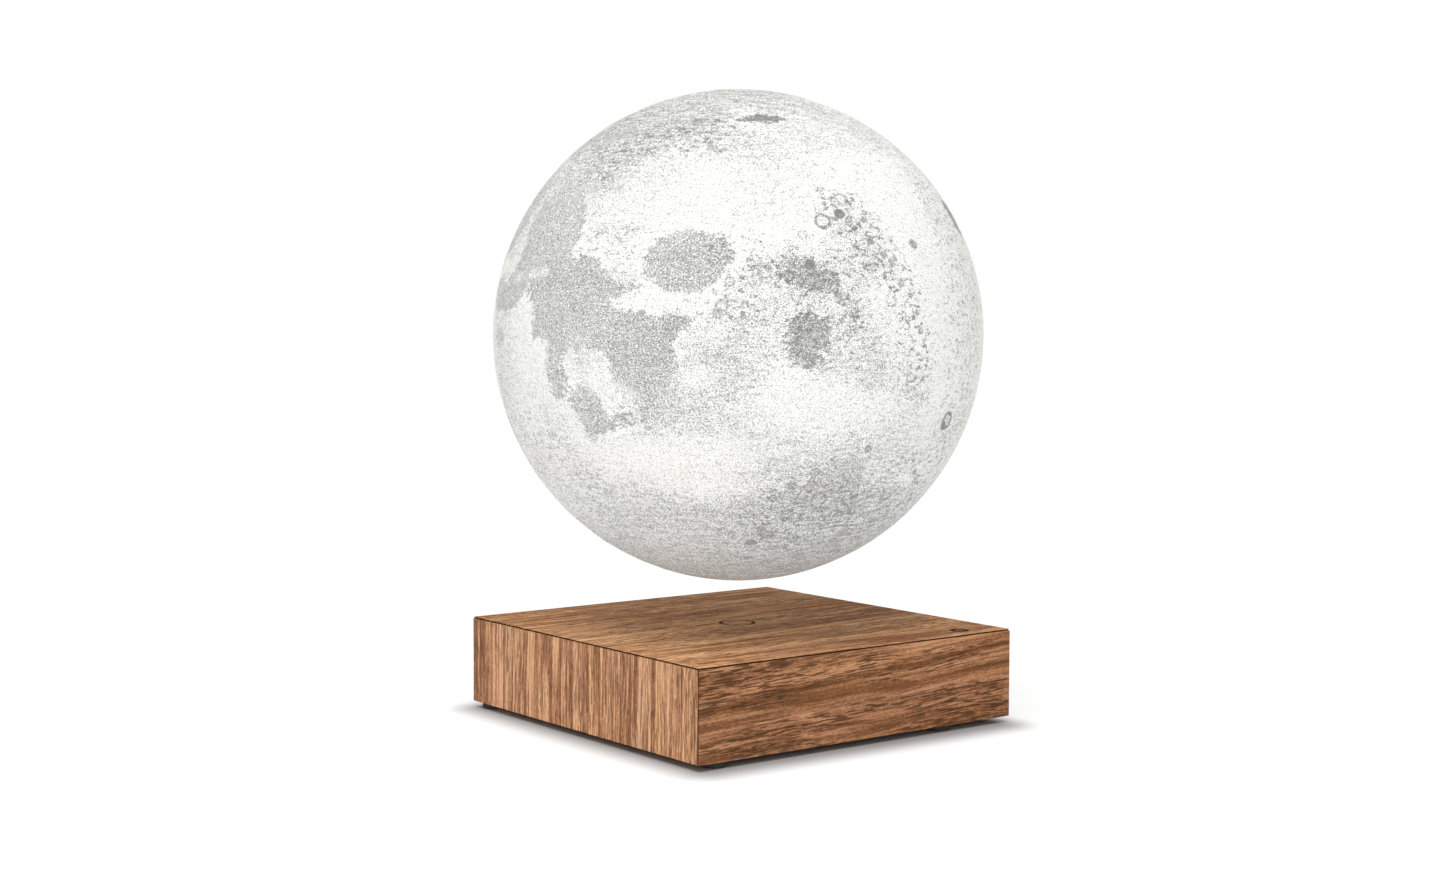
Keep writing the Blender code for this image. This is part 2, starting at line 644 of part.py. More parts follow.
def make_magnet_cup():
    """It closes the opening: the moon's surface below, a pocket and a ledge above."""
    edge_angle = pi - acos(depth_on_moon(CUP_RADIUS) / MOON_RADIUS)
    inside = [(0, POCKET_FLOOR), (POCKET_RADIUS, POCKET_FLOOR), (POCKET_RADIUS, COIL_LEDGE), (CUP_BORE, COIL_LEDGE)]
    rim = [(CUP_BORE, CUP_TOP), (CUP_RADIUS, CUP_TOP)]
    bottom = sphere_arc(MOON_RADIUS, edge_angle, pi, INNER_RINGS // 2)
    profile = [*inside, *rim, *bottom[:-1], (0, -MOON_RADIUS)]
    mesh = turned_mesh("magnet_cup", profile, closed=False)
    settle(new_piece("magnet_cup", mesh, MOON_PRINT, MOON))


def make_moon_parts():
    magnet = rod_mesh("levitating_magnet", MAGNET_RADIUS, MAGNET_THICKNESS, MAGNET_SEGMENTS)
    settle(new_piece("levitating_magnet", magnet, MAGNET_NICKEL, LIFT, (0, 0, MAGNET_BOTTOM)))
    coil = ring_mesh(
        "receiver_coil", CUP_BORE - SEAT_GAP, POCKET_RADIUS + SEAT_GAP, RECEIVER_COIL_THICKNESS
    )
    settle(new_piece("receiver_coil", coil, COPPER, MOON, (0, 0, COIL_LEDGE + SEAT_GAP)))
    board_radius = CUP_BORE - SEAT_GAP
    board = rod_mesh("led_board", board_radius, PCB_THICKNESS, MAGNET_SEGMENTS)
    settle(new_piece("led_board", board, BOARD_WHITE, MOON, (0, 0, LED_BOARD_BOTTOM)))
    seat = LED_BOARD_TOP + SEAT_GAP
    circle = board_radius - LED_EDGE_INSET
    for number in range(LED_COUNT):
        angle = 2 * pi * number / LED_COUNT
        name = f"led_{number + 1}"
        place = (circle * cos(angle), circle * sin(angle), seat + LED_HEIGHT / 2)
        led = box_mesh(name, LED_LENGTH, LED_WIDTH, LED_HEIGHT)
        new_piece(name, led, LED_YELLOW, MOON, place, (0, 0, angle))
    chip = box_mesh("rectifier_chip", CHIP_SIDE, CHIP_SIDE, CHIP_HEIGHT)
    new_piece("rectifier_chip", chip, CHIP_BLACK, MOON, (0, 0, seat + CHIP_HEIGHT / 2))


clear_scene()
LAMP = new_collection("moon_lamp")
CUTTERS = new_collection("cutters")
CUTTERS.hide_render = True

WALNUT = new_material("walnut", (0.27, 0.14, 0.07), 0.55)
BLOCK_WOOD = new_material("block wood", (0.55, 0.38, 0.22), 0.7)
COVER_PLASTIC = new_material("cover plastic", (0.02, 0.02, 0.02), 0.6)
RUBBER = new_material("rubber", (0.03, 0.028, 0.026), 0.85)
STEEL = new_material("steel", (0.55, 0.55, 0.56), 0.35, 1.0)
BOARD_GREEN = new_material("board green", (0.02, 0.12, 0.05), 0.45)
BOARD_WHITE = new_material("board white", (0.8, 0.8, 0.78), 0.4)
FERRITE = new_material("ferrite", (0.06, 0.06, 0.065), 0.5, 0.3)
COPPER = new_material("copper", (0.72, 0.3, 0.14), 0.35, 1.0)
CHIP_BLACK = new_material("chip black", (0.015, 0.015, 0.016), 0.4)
ALUMINIUM = new_material("aluminium", (0.7, 0.7, 0.72), 0.35, 1.0)
LEAD_RED = new_material("lead red", (0.5, 0.03, 0.02), 0.5)
JACK_PLASTIC = new_material("jack plastic", (0.02, 0.02, 0.02), 0.35)
MAGNET_NICKEL = new_material("magnet nickel", (0.66, 0.64, 0.6), 0.25, 1.0)
MOON_PRINT = new_material("printed moon", (0.82, 0.81, 0.78), 0.75)
LED_YELLOW = new_material("led yellow", (0.85, 0.6, 0.12), 0.4)

BASE = new_parent("base", (0, 0, 0))
LIFT = new_parent("moon_lift_axis", (0, 0, MOON_CENTRE), BASE)
MOON = new_parent("moon_spin_axis", (0, 0, 0), LIFT)

make_case()
make_corner_blocks()
make_bottom_cover()
make_screws()
make_feet()
make_control_board()
make_board_parts()
make_power_coil()
make_touch_switch()
make_jack()
make_moon_shell()
make_magnet_cup()
make_moon_parts()
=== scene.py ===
import json
from math import cos, pi, radians, sin, sqrt

import bpy
import numpy as np
from mathutils import Matrix, Vector, noise


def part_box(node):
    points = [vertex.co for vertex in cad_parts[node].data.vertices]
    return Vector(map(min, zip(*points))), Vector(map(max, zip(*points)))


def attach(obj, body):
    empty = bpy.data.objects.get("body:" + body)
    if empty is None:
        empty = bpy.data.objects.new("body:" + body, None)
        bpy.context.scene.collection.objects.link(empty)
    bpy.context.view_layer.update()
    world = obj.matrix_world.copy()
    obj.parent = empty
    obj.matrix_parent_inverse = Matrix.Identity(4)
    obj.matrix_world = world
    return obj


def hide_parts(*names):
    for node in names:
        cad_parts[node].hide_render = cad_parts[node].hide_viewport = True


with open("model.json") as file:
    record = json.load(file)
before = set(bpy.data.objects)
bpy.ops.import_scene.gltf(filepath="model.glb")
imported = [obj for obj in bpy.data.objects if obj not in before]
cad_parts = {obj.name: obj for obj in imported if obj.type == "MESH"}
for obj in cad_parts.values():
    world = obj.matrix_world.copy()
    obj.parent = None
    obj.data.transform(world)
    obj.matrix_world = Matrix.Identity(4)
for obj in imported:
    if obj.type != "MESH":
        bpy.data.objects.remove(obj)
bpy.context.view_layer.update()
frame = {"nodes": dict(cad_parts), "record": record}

MM = 0.001

# The moon's ball and the hole in it, placed by the frame's boxes
SHELL_LOW, SHELL_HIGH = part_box("moon_shell")
CUP_LOW, CUP_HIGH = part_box("magnet_cup")
MOON_RADIUS = (SHELL_HIGH.x - SHELL_LOW.x) / 2
MOON_CENTRE = Vector((0, 0, SHELL_HIGH.z - MOON_RADIUS))
CUP_RADIUS = (CUP_HIGH.x - CUP_LOW.x) / 2
SEAT_GAP = 0.3 * MM
OPENING_RADIUS = CUP_RADIUS + SEAT_GAP
SHELL_WALL = 2 * MM
COLLAR_WALL = 2.5 * MM
MOON_SEGMENTS = 384
MOON_RINGS = 192
INSIDE_SEGMENTS = 96
INSIDE_RINGS = 48
SAME_LEVEL = 0.01 * MM

# How deep the print's relief is, and how far over the cup's foot it starts
ROUGH_DEPTH = 0.09 * MM
SEA_DEPTH = 0.16 * MM
CRATER_DEPTH = 0.55 * MM
WIDEST_CRATER = 9
SMOOTH_FOOT = 1.5 * MM

# The shade's glow, and what the underside's levels under the ball's middle do to its grey and its tint
MOON_GLOW = 0.21
GLOW_COLOUR = (1.0, 0.99, 0.96, 1.0)
SOUTH_SHADE = 0.67
SOUTH_LEVELS = (-70 * MM, -75 * MM)
# painted bluish tint towards the bottom, offsetting the warm light that the walnut bounces onto the ball
BOUNCE_OFFSET_LEVELS = (-35 * MM, -76 * MM)
BOUNCE_OFFSET_TINT = (0.93, 1.03, 1.13)
MOON_GREYS = (
    (0.0, (0.87, 0.875, 0.845)), (0.10, (0.63, 0.635, 0.61)), (0.4, (0.29, 0.295, 0.28)),
    (0.62, (0.13, 0.13, 0.125)), (1.0, (0.02, 0.02, 0.02)),
)

# The walnut base, from the frame
TOP_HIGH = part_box("top_panel")[1]
BASE_TOP = TOP_HIGH.z
BASE_HALF = TOP_HIGH.x

# Camera: how it is turned, and where the middle of the base's top lies from it
IMAGE_WIDTH = 1445
FOCAL_PIXELS = 2121.6
SENSOR_WIDTH = 36.0
CAMERA_TURN = radians(-37.464)
CAMERA_DIP = radians(3.684)
CAMERA_ROLL = radians(0.167)
CAMERA_DISTANCE = 693.1 * MM
CAMERA_ASIDE = 4.95 * MM
CAMERA_RAISED = 60.26 * MM
CLIP_START = 0.01
CLIP_END = 50

# Light: a pale sky, a wide lamp overhead and a lower one beside the camera
SKY_STRENGTH = 0.28
OVERHEAD_STRENGTH = 2.2
OVERHEAD_ANGLE = radians(52)
OVERHEAD_PLACE = Vector((-0.26, -0.20, 1))
SIDE_STRENGTH = 1.15
SIDE_ANGLE = radians(35)
SIDE_PLACE = Vector((-0.62, -0.74, 0.14))

# Floor: its paint, the camera's painted-shadow grey, and the painted glow starting a little off the base
FLOOR_RADIUS = 6.0
FLOOR_PAINT = 0.93
FLOOR_SHADOW_GREY = 0.42
FLOOR_PAINTED_GLOW = 0.64
GLOW_START = 1 * MM
GLOW_END = 17 * MM
# the painted glow's box sits off the base's middle, trimmed so it starts nearest on the right and back
GLOW_MIDDLE = (-2 * MM, -3 * MM)
GLOW_TRIM = (5 * MM, 3 * MM)

# The moon's map is turned so that this longitude faces the camera, and leans a little
FACING_LONGITUDE = radians(70.5)
MAP_LEAN = radians(-2)
CAMERA_BEARING = radians(-128)

# Ovals on the moon: latitude, longitude, half width, half height and turn in degrees, then how dark
SEAS = (
    (17.0, 55.8, 5.6, 5.8, 0, 0.95), (14.0, 9.0, 5.0, 4.5, 0, 0.85), (17.2, 60.8, 7.0, 6.8, 0, 1.0),
    (18.0, 65.6, 3.8, 3.4, 15, 0.9), (28.0, 18.5, 10.0, 9.5, 0, 0.85), (20.0, 15.5, 6.5, 3.5, 0, 0.9),
    (23.0, 27.0, 3.5, 6.0, 0, 0.85), (13.0, 25.0, 8.5, 5.5, 0, 0.95), (14.0, 34.0, 6.0, 5.0, 0, 1.0),
    (6.0, 30.5, 11.5, 7.0, 0, 0.85), (12.0, 42.0, 5.0, 1.5, -10, 0.95), (3.0, 43.5, 8.0, 4.6, 0, 0.85),
    (-6.0, 26.6, 2.8, 5.0, 0, 0.8), (-3.2, 50.0, 7.6, 7.0, 0, 0.95), (3.6, 54.5, 7.0, 2.3, 8, 1.1),
    (-9.0, 48.5, 5.4, 3.6, 0, 0.8), (-15.5, 51.5, 5.0, 3.0, 10, 0.55), (-16.0, 43.0, 1.4, 1.8, 0, 0.6),
    (-13.0, 55.0, 3.0, 3.0, 0, 0.6), (-13.0, 34.3, 4.0, 4.6, 0, 0.8), (-17.4, 37.3, 2.6, 2.3, 0, 1.05),
    (-20.5, 33.8, 1.5, 1.2, 0, 0.6), (10.5, 3.0, 3.8, 3.0, 0, 1.0), (2.0, 0.0, 3.5, 2.4, 0, 0.7),
    (38.5, 31.5, 6.5, 2.4, 15, 0.7), (35.8, 37.0, 3.6, 2.4, 0, 0.8), (45.0, 27.0, 4.0, 1.4, 0, 0.45),
    (54.8, 33.0, 6.5, 2.0, 8, 0.9), (53.0, 17.0, 8.0, 2.2, 5, 0.65), (50.0, 3.0, 7.0, 2.0, 0, 0.9),
    (2.4, 86.0, 4.6, 2.6, 0, 1.3), (-1.8, 86.0, 4.8, 2.6, 0, 1.2), (-5.5, 84.7, 2.5, 0.8, -8, 1.1),
    (13.4, 84.6, 5.2, 1.9, -12, 1.25), (17.2, 82.4, 1.9, 1.1, 0, 0.95), (12.2, 90.2, 3.2, 1.8, 0, 1.35),
    (5.5, 95.6, 2.0, 2.0, 0, 0.9), (8.8, 93.4, 1.4, 1.0, -30, 1.0), (57.2, 80.6, 3.2, 1.35, 0, 2.8),
    (57.0, 87.0, 2.4, 0.7, 0, 1.6), (27.3, 147.9, 4.0, 4.6, 0, 1.9), (-33.7, 163.5, 5.0, 3.2, 20, 1.2),
    (-36.0, 209.0, 4.5, 4.0, 0, 0.9), (33.0, -16.0, 17.0, 15.0, 0, 0.9), (44.0, -32.0, 6.0, 4.0, -30, 0.8),
    (56.0, -15.0, 18.0, 2.6, 0, 0.85), (12.0, -54.0, 13.0, 20.0, 10, 0.9),
    (32.0, -56.0, 12.0, 14.0, 20, 0.85), (48.0, -52.0, 11.0, 6.0, 20, 0.8), (6.0, -34.0, 13.0, 8.0, 0, 0.8),
    (-10.0, -24.0, 8.0, 6.0, 0, 0.85), (-21.0, -16.0, 9.0, 9.0, 0, 0.85), (-24.0, -39.0, 6.5, 6.5, 0, 1.0),
    (-6.0, -48.0, 10.0, 7.0, 0, 0.8), (12.0, -4.0, 5.0, 4.0, 0, 0.8), (-5.5, -68.5, 3.0, 2.6, 0, 1.4),
    (51.6, -9.4, 1.9, 1.3, 0, 1.4), (-20.0, -94.5, 4.4, 4.0, 0, 1.1), (-33.0, -87.0, 6.0, 1.2, 40, 0.8),
    (-12.0, -86.0, 5.0, 1.1, -50, 0.7), (-36.0, 95.5, 7.0, 7.5, 0, 0.9), (-43.0, 101.0, 5.0, 4.0, 0, 0.85),
    (-29.0, 96.5, 4.0, 3.0, 0, 0.8),
)
VEILS = (
    (46.0, 21.0, 22.0, 10.0, 0, 1.15), (38.0, 4.0, 10.0, 14.0, 0, 0.55), (60.0, 22.0, 30.0, 8.0, 0, 1.1),
    (2.0, 2.0, 9.0, 34.0, 0, 0.25), (-26.0, 16.0, 13.0, 14.0, 0, 0.2), (30.0, 42.0, 9.0, 9.0, 0, 0.3),
    (52.0, 112.0, 26.0, 8.0, 0, 0.3), (20.0, 138.0, 8.0, 30.0, 0, 0.15), (-60.0, 20.0, 40.0, 14.0, 0, 0.45),
    (-72.0, 78.0, 50.0, 36.0, 0, 0.70), (-44.0, 94.0, 16.0, 11.0, 0, 1.35),
    (-57.0, 100.0, 17.0, 8.0, 0, 0.9), (-52.0, 66.0, 20.0, 6.0, 0, 0.3), (-3.5, 68.0, 9.0, 7.0, 0, 0.5),
    (-15.0, 61.5, 10.0, 5.5, 0, 0.4), (-13.0, 53.0, 8.0, 6.0, 0, 0.45), (-21.0, 71.0, 11.0, 3.0, 0, 0.25),
    (12.0, 87.0, 13.0, 7.5, 0, 0.4), (5.5, 76.0, 9.0, 6.0, 0, 0.35), (-1.0, 93.0, 10.0, 8.0, 0, 0.35),
    (-6.5, 101.0, 5.0, 5.0, 0, 0.45), (-28.0, 107.0, 6.5, 2.4, -6, 0.55), (-23.0, 105.0, 7.0, 4.0, 0, 0.35),
    (-12.0, 113.0, 5.0, 6.0, 0, 0.3), (16.0, 103.5, 5.5, 3.5, 0, 0.45), (24.0, 99.0, 5.5, 6.0, 0, 0.45),
    (78.0, 75.0, 17.0, 10.0, 20, 0.95), (82.0, 200.0, 9.0, 13.0, 30, 0.3),
    (72.0, 18.0, 14.0, 8.0, -20, 0.7), (40.0, 24.0, 14.0, 9.0, 0, 0.4), (-24.0, 8.0, 14.0, 16.0, 0, 0.2),
    (-37.0, 28.0, 15.0, 7.0, 0, 0.45), (13.5, 44.0, 4.2, 4.2, 0, 0.4), (-1.0, 35.0, 5.0, 5.0, 0, 0.35),
    (-30.0, 140.0, 22.0, 14.0, 0, 0.2), (4.0, 132.0, 9.0, 14.0, 0, 0.1), (36.0, 68.0, 22.0, 10.0, 0, 0.16),
    (-30.0, 88.0, 17.0, 6.0, 0, 0.42), (67.0, 80.0, 45.0, 7.0, 0, 0.65),
    (-53.0, 191.0, 30.0, 26.0, 0, 0.55), (30.0, 150.0, 16.0, 12.0, 0, 0.25),
    (-20.0, -94.5, 15.0, 14.0, 0, 0.3), (8.0, 190.0, 24.0, 18.0, 0, 0.22),
    (20.0, 230.0, 20.0, 16.0, 0, 0.25),
)
BRIGHTS = (
    (-7.6, 61.0, 3.2, 2.2, 0, 1.0), (34.0, 52.0, 15.0, 12.0, 0, 0.45), (-25.0, 60.0, 15.0, 5.0, 0, 0.9),
    (-14.0, 86.0, 11.0, 5.0, 0, 0.7), (5.0, 125.0, 5.0, 16.0, 0, 0.6), (-11.0, 45.5, 3.0, 2.0, 0, 0.8),
    (-8.0, 39.0, 4.0, 3.0, 0, 0.8), (15.8, 16.8, 1.7, 1.2, 0, 1.0), (16.0, 21.5, 1.0, 0.8, 0, 1.0),
    (1.0, 33.0, 2.6, 1.2, 0, 0.7), (1.5, 66.5, 3.5, 1.6, 0, 0.8), (15.0, 9.8, 1.3, 1.1, 0, 0.9),
    (-43.3, -11.2, 3.6, 3.2, 0, 1.0), (9.6, -20.0, 3.8, 3.6, 0, 1.0), (8.1, -38.0, 2.4, 2.4, 0, 1.0),
    (23.7, -47.5, 2.2, 2.0, 0, 1.0), (-45.0, 5.0, 13.0, 8.0, 0, 0.4), (-14.0, 13.0, 6.0, 9.0, 0, 0.6),
)
SPECKS = (
    (28.0, 98.0, 6.5, 5.0, -30, 1.2), (21.0, 102.0, 5.0, 6.0, 0, 1.2), (13.5, 86.5, 9.0, 5.0, -10, 1.0),
    (4.0, 95.0, 5.0, 7.0, 0, 0.9), (6.5, 70.0, 6.5, 5.5, 0, 0.9), (0.5, 88.0, 7.0, 6.0, 0, 0.6),
    (-4.0, 113.0, 5.0, 10.0, 10, 1.5), (13.0, 108.0, 5.0, 8.0, 20, 1.4), (19.5, 71.0, 5.0, 4.0, 0, 0.7),
    (-43.0, 90.0, 16.0, 11.0, 0, 0.8), (-14.0, 47.0, 6.0, 5.0, 0, 0.7), (-56.0, 92.0, 24.0, 7.0, 0, 0.5),
    (15.0, 75.0, 4.0, 4.0, 0, 0.9), (51.0, 62.0, 8.0, 7.0, 0, 0.9), (45.0, 31.0, 9.0, 8.0, 0, 0.8),
    (22.0, 42.0, 9.0, 3.0, 0, 0.5), (-35.0, 125.0, 12.0, 10.0, 0, 0.8), (20.0, 175.0, 30.0, 30.0, 0, 0.45),
    (-20.0, 215.0, 30.0, 25.0, 0, 0.5), (-35.0, 5.0, 22.0, 20.0, 0, 0.45),
    (35.0, 235.0, 22.0, 20.0, 0, 0.4), (0.0, 134.0, 10.0, 38.0, 0, 0.6),
)
# Craters and spots: latitude, longitude and radius in degrees, how dark the floor and the rim are
CRATERS = (
    (25.4, 91.9, 1.8, 0.2, 1.7), (27.0, 96.6, 1.2, 3.0, 2.2), (30.6, 98.6, 1.6, 0.2, 0.9),
    (30.0, 96.6, 1.2, 0.5, 0.6), (22.2, 86.3, 1.1, 0.2, 0.9), (24.8, 98.4, 1.0, 1.2, 0.9),
    (25.4, 103.0, 0.9, 1.6, 1.0), (20.5, 103.0, 0.9, 1.8, 1.1), (19.6, 116.3, 1.2, 1.5, 1.1),
    (15.6, 87.0, 1.25, 2.6, 1.8), (12.6, 89.0, 1.1, 1.5, 1.0), (16.6, 74.6, 1.5, 0.2, 1.0),
    (14.3, 76.9, 1.5, 0.3, 1.1), (13.0, 75.2, 1.3, 0.3, 0.8), (9.0, 83.6, 1.6, 0.1, 0.9),
    (8.4, 93.0, 1.0, 1.3, 0.9), (45.8, 64.5, 1.1, 0.9, 1.0), (51.6, 58.6, 1.0, 1.3, 1.0),
    (21.7, 67.0, 1.6, 0.1, 1.2), (12.4, 69.3, 1.1, 0.4, 1.1), (7.4, 67.4, 1.4, 0.4, 1.1),
    (5.8, 66.6, 1.1, 1.0, 1.0), (4.2, 71.6, 1.2, 0.4, 1.1), (-20.2, 128.8, 2.1, 0.6, 2.7),
    (-21.4, 127.9, 1.1, 3.0, 2.2), (-25.2, 102.2, 1.0, 1.4, 1.5), (-33.5, 83.2, 1.1, 1.5, 1.6),
    (-35.0, 85.0, 1.2, 0.8, 1.7), (-36.8, 78.6, 1.0, 1.4, 1.7), (-46.5, 76.0, 0.9, 1.7, 1.8),
    (-48.6, 78.6, 1.5, 1.2, 1.8), (-51.5, 73.0, 1.2, 1.9, 1.9), (-41.6, 83.6, 1.5, 0.5, 1.5),
    (-43.2, 86.0, 1.7, 0.5, 1.5), (11.0, 109.4, 1.1, 1.1, 0.8), (-32.6, 123.0, 0.7, 1.4, 1.2),
    (-10.9, 2.0, 1.6, 0.2, 0.6), (-20.4, 19.5, 1.2, 0.6, 0.6), (-57.5, 118.0, 2.2, 0.2, 0.8),
    (-26.9, 77.6, 0.9, 0.3, 0.6), (-5.0, 203.0, 7.0, 0.12, 0.35), (2.0, 231.0, 9.0, 0.1, 0.35),
    (-36.0, 209.0, 8.5, 0.1, 0.4), (52.0, 190.0, 3.4, 0.3, 0.6), (35.0, 170.0, 2.6, 0.8, 0.7),
    (-8.0, 180.0, 2.2, 0.2, 0.7), (14.0, 200.0, 1.6, 0.9, 0.8), (-20.0, 188.0, 2.0, 0.3, 0.8),
    (26.0, 214.0, 1.8, 0.2, 0.9), (-2.0, 160.0, 2.2, 0.2, 0.8), (-62.0, 230.0, 2.6, 0.3, 0.7),
    (40.0, 250.0, 2.2, 0.4, 0.8), (-58.0, -14.0, 3.4, 0.15, 0.7), (-50.0, -6.0, 2.4, 0.15, 0.6),
    (-49.0, -22.0, 2.2, 0.15, 0.6), (-9.0, -2.0, 2.4, 0.3, 0.7), (-13.4, -3.0, 1.7, 0.2, 0.7),
    (-30.0, 3.0, 2.2, 0.2, 0.6), (9.6, -20.0, 1.5, 0.0, 0.5), (17.3, 106.0, 0.9, 1.4, 1.0),
    (15.0, 107.6, 0.8, 1.3, 0.9), (8.2, 111.7, 0.8, 1.4, 0.9), (4.5, 113.2, 0.8, 1.4, 0.9),
    (0.5, 114.0, 0.8, 1.2, 0.9), (-8.8, 101.5, 1.8, 0.5, 0.3), (-30.4, 88.9, 1.1, 1.0, 1.7),
    (-33.4, 88.6, 1.0, 1.2, 1.6), (-34.1, 100.5, 1.2, 1.0, 1.5), (-36.5, 94.2, 1.2, 0.7, 1.6),
    (-41.3, 107.8, 1.1, 0.9, 1.4), (-50.2, 106.7, 1.3, 1.2, 1.5),
)


def deselect():
    if bpy.context.mode != "OBJECT":
        bpy.ops.object.mode_set(mode="OBJECT")
    bpy.ops.object.select_all(action="DESELECT")


def pick(piece):
    deselect()
    piece.select_set(True)
    bpy.context.view_layer.objects.active = piece


def apply_place(piece):
    """Puts the piece's place, turn and scale into its mesh."""
    pick(piece)
    bpy.ops.object.transform_apply(location=True, rotation=True, scale=True)
    return piece


def dress(node, finish):
    """Gives a CAD node its finish."""
    piece = frame["nodes"][node]
    piece.data.materials.clear()
    piece.data.materials.append(finish)
    return piece


def place_piece(piece, finish, body, slot, *nodes):
    """A finished piece gets its material, and takes the place of CAD nodes on their body."""
    piece.data.materials.clear()
    piece.data.materials.append(finish)
    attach(piece, body)
    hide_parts(*nodes)
    return piece


class Nodes:
    """A node tree under construction: each call adds a node and gives its output."""

    def __init__(self, tree):
        self.tree = tree

    def add(self, kind, **settings):
        node = self.tree.nodes.new(kind)
        for name, value in settings.items():
            setattr(node, name, value)
        return node

    def feed(self, socket, value):
        if isinstance(value, bpy.types.NodeSocket):
            self.tree.links.new(value, socket)
        else:
            socket.default_value = value

    def vector(self, operation, a, b):
        node = self.add("ShaderNodeVectorMath", operation=operation)
        self.feed(node.inputs[0], a)
        self.feed(node.inputs[1], b)
        return node.outputs["Value" if operation in ("DISTANCE", "LENGTH", "DOT_PRODUCT") else "Vector"]

    def noise(self, at, scale, detail=3.0, roughness=0.5):
        """Noise with cells of this many to the metre, one number or one for each axis."""
        if isinstance(scale, tuple):
            at = self.vector("MULTIPLY", at, scale)
            scale = 1.0
        node = self.add("ShaderNodeTexNoise")
        self.feed(node.inputs["Vector"], at)
        node.inputs["Scale"].default_value = scale
        node.inputs["Detail"].default_value = detail
        node.inputs["Roughness"].default_value = roughness
        return node.outputs["Fac"]

    def band(self, value, low, high, at_low=0.0, at_high=1.0):
        """A soft step between two levels of the value, from one number to another."""
        node = self.add("ShaderNodeMapRange", interpolation_type="SMOOTHSTEP")
        self.feed(node.inputs["Value"], value)
        for name, number in (("From Min", low), ("From Max", high), ("To Min", at_low), ("To Max", at_high)):
            self.feed(node.inputs[name], number)
        return node.outputs["Result"]

    def math(self, operation, a, b=0.0, c=0.0):
        node = self.add("ShaderNodeMath", operation=operation)
        for socket, value in zip(node.inputs, (a, b, c)):
            self.feed(socket, value)
        return node.outputs["Value"]

    def ramp(self, value, *stops):
        """A colour ramp: each stop is its place from 0 to 1 and its colour."""
        node = self.add("ShaderNodeValToRGB")
        marks = node.color_ramp.elements
        while len(marks) < len(stops):
            marks.new(1.0)
        for mark, (place, colour) in zip(marks, stops):
            mark.position = place
            mark.color = (*colour, 1.0)
        self.feed(node.inputs["Fac"], value)
        return node.outputs["Color"]

    def mix(self, share, a, b, blend="MIX"):
        node = self.add("ShaderNodeMix", data_type="RGBA", blend_type=blend)
        sockets = [s for s in node.inputs if s.enabled]
        for socket, value in zip(sockets, (share, a, b)):
            self.feed(socket, (*value, 1.0) if isinstance(value, tuple) else value)
        return next(s for s in node.outputs if s.enabled)


class Finish(Nodes):
    """A material under construction, its patterns placed by the object's own coordinates."""

    def __init__(self, name, roughness=0.5, metallic=0.0):
        self.material = bpy.data.materials.new(name)
        self.material.use_nodes = True
        super().__init__(self.material.node_tree)
        self.shader = self.tree.nodes["Principled BSDF"]
        self.shader.inputs["Roughness"].default_value = roughness
        self.shader.inputs["Metallic"].default_value = metallic
        self.object = self.add("ShaderNodeTexCoord").outputs["Object"]

    def set(self, **values):
        for name, value in values.items():
            self.feed(self.shader.inputs[name.replace("_", " ")], value)

    def turned(self, turn, shift):
        node = self.add("ShaderNodeMapping")
        node.inputs["Rotation"].default_value = turn
        node.inputs["Location"].default_value = shift
        self.feed(node.inputs["Vector"], self.object)
        return node.outputs["Vector"]

    def level_in(self, place):
        """How high a place lies, as its Z."""
        node = self.add("ShaderNodeSeparateXYZ")
        self.feed(node.inputs[0], place)
        return node.outputs["Z"]

    def bump(self, height, depth, below=None):
        """Relief of this depth where the height goes from 0 to 1."""
        node = self.add("ShaderNodeBump")
        node.inputs["Distance"].default_value = depth
        self.feed(node.inputs["Height"], height)
        if below is not None:
            self.feed(node.inputs["Normal"], below)
        self.feed(self.shader.inputs["Normal"], node.outputs["Normal"])
        return node.outputs["Normal"]

    def attribute(self, name):
        return self.add("ShaderNodeAttribute", attribute_name=name).outputs["Fac"]


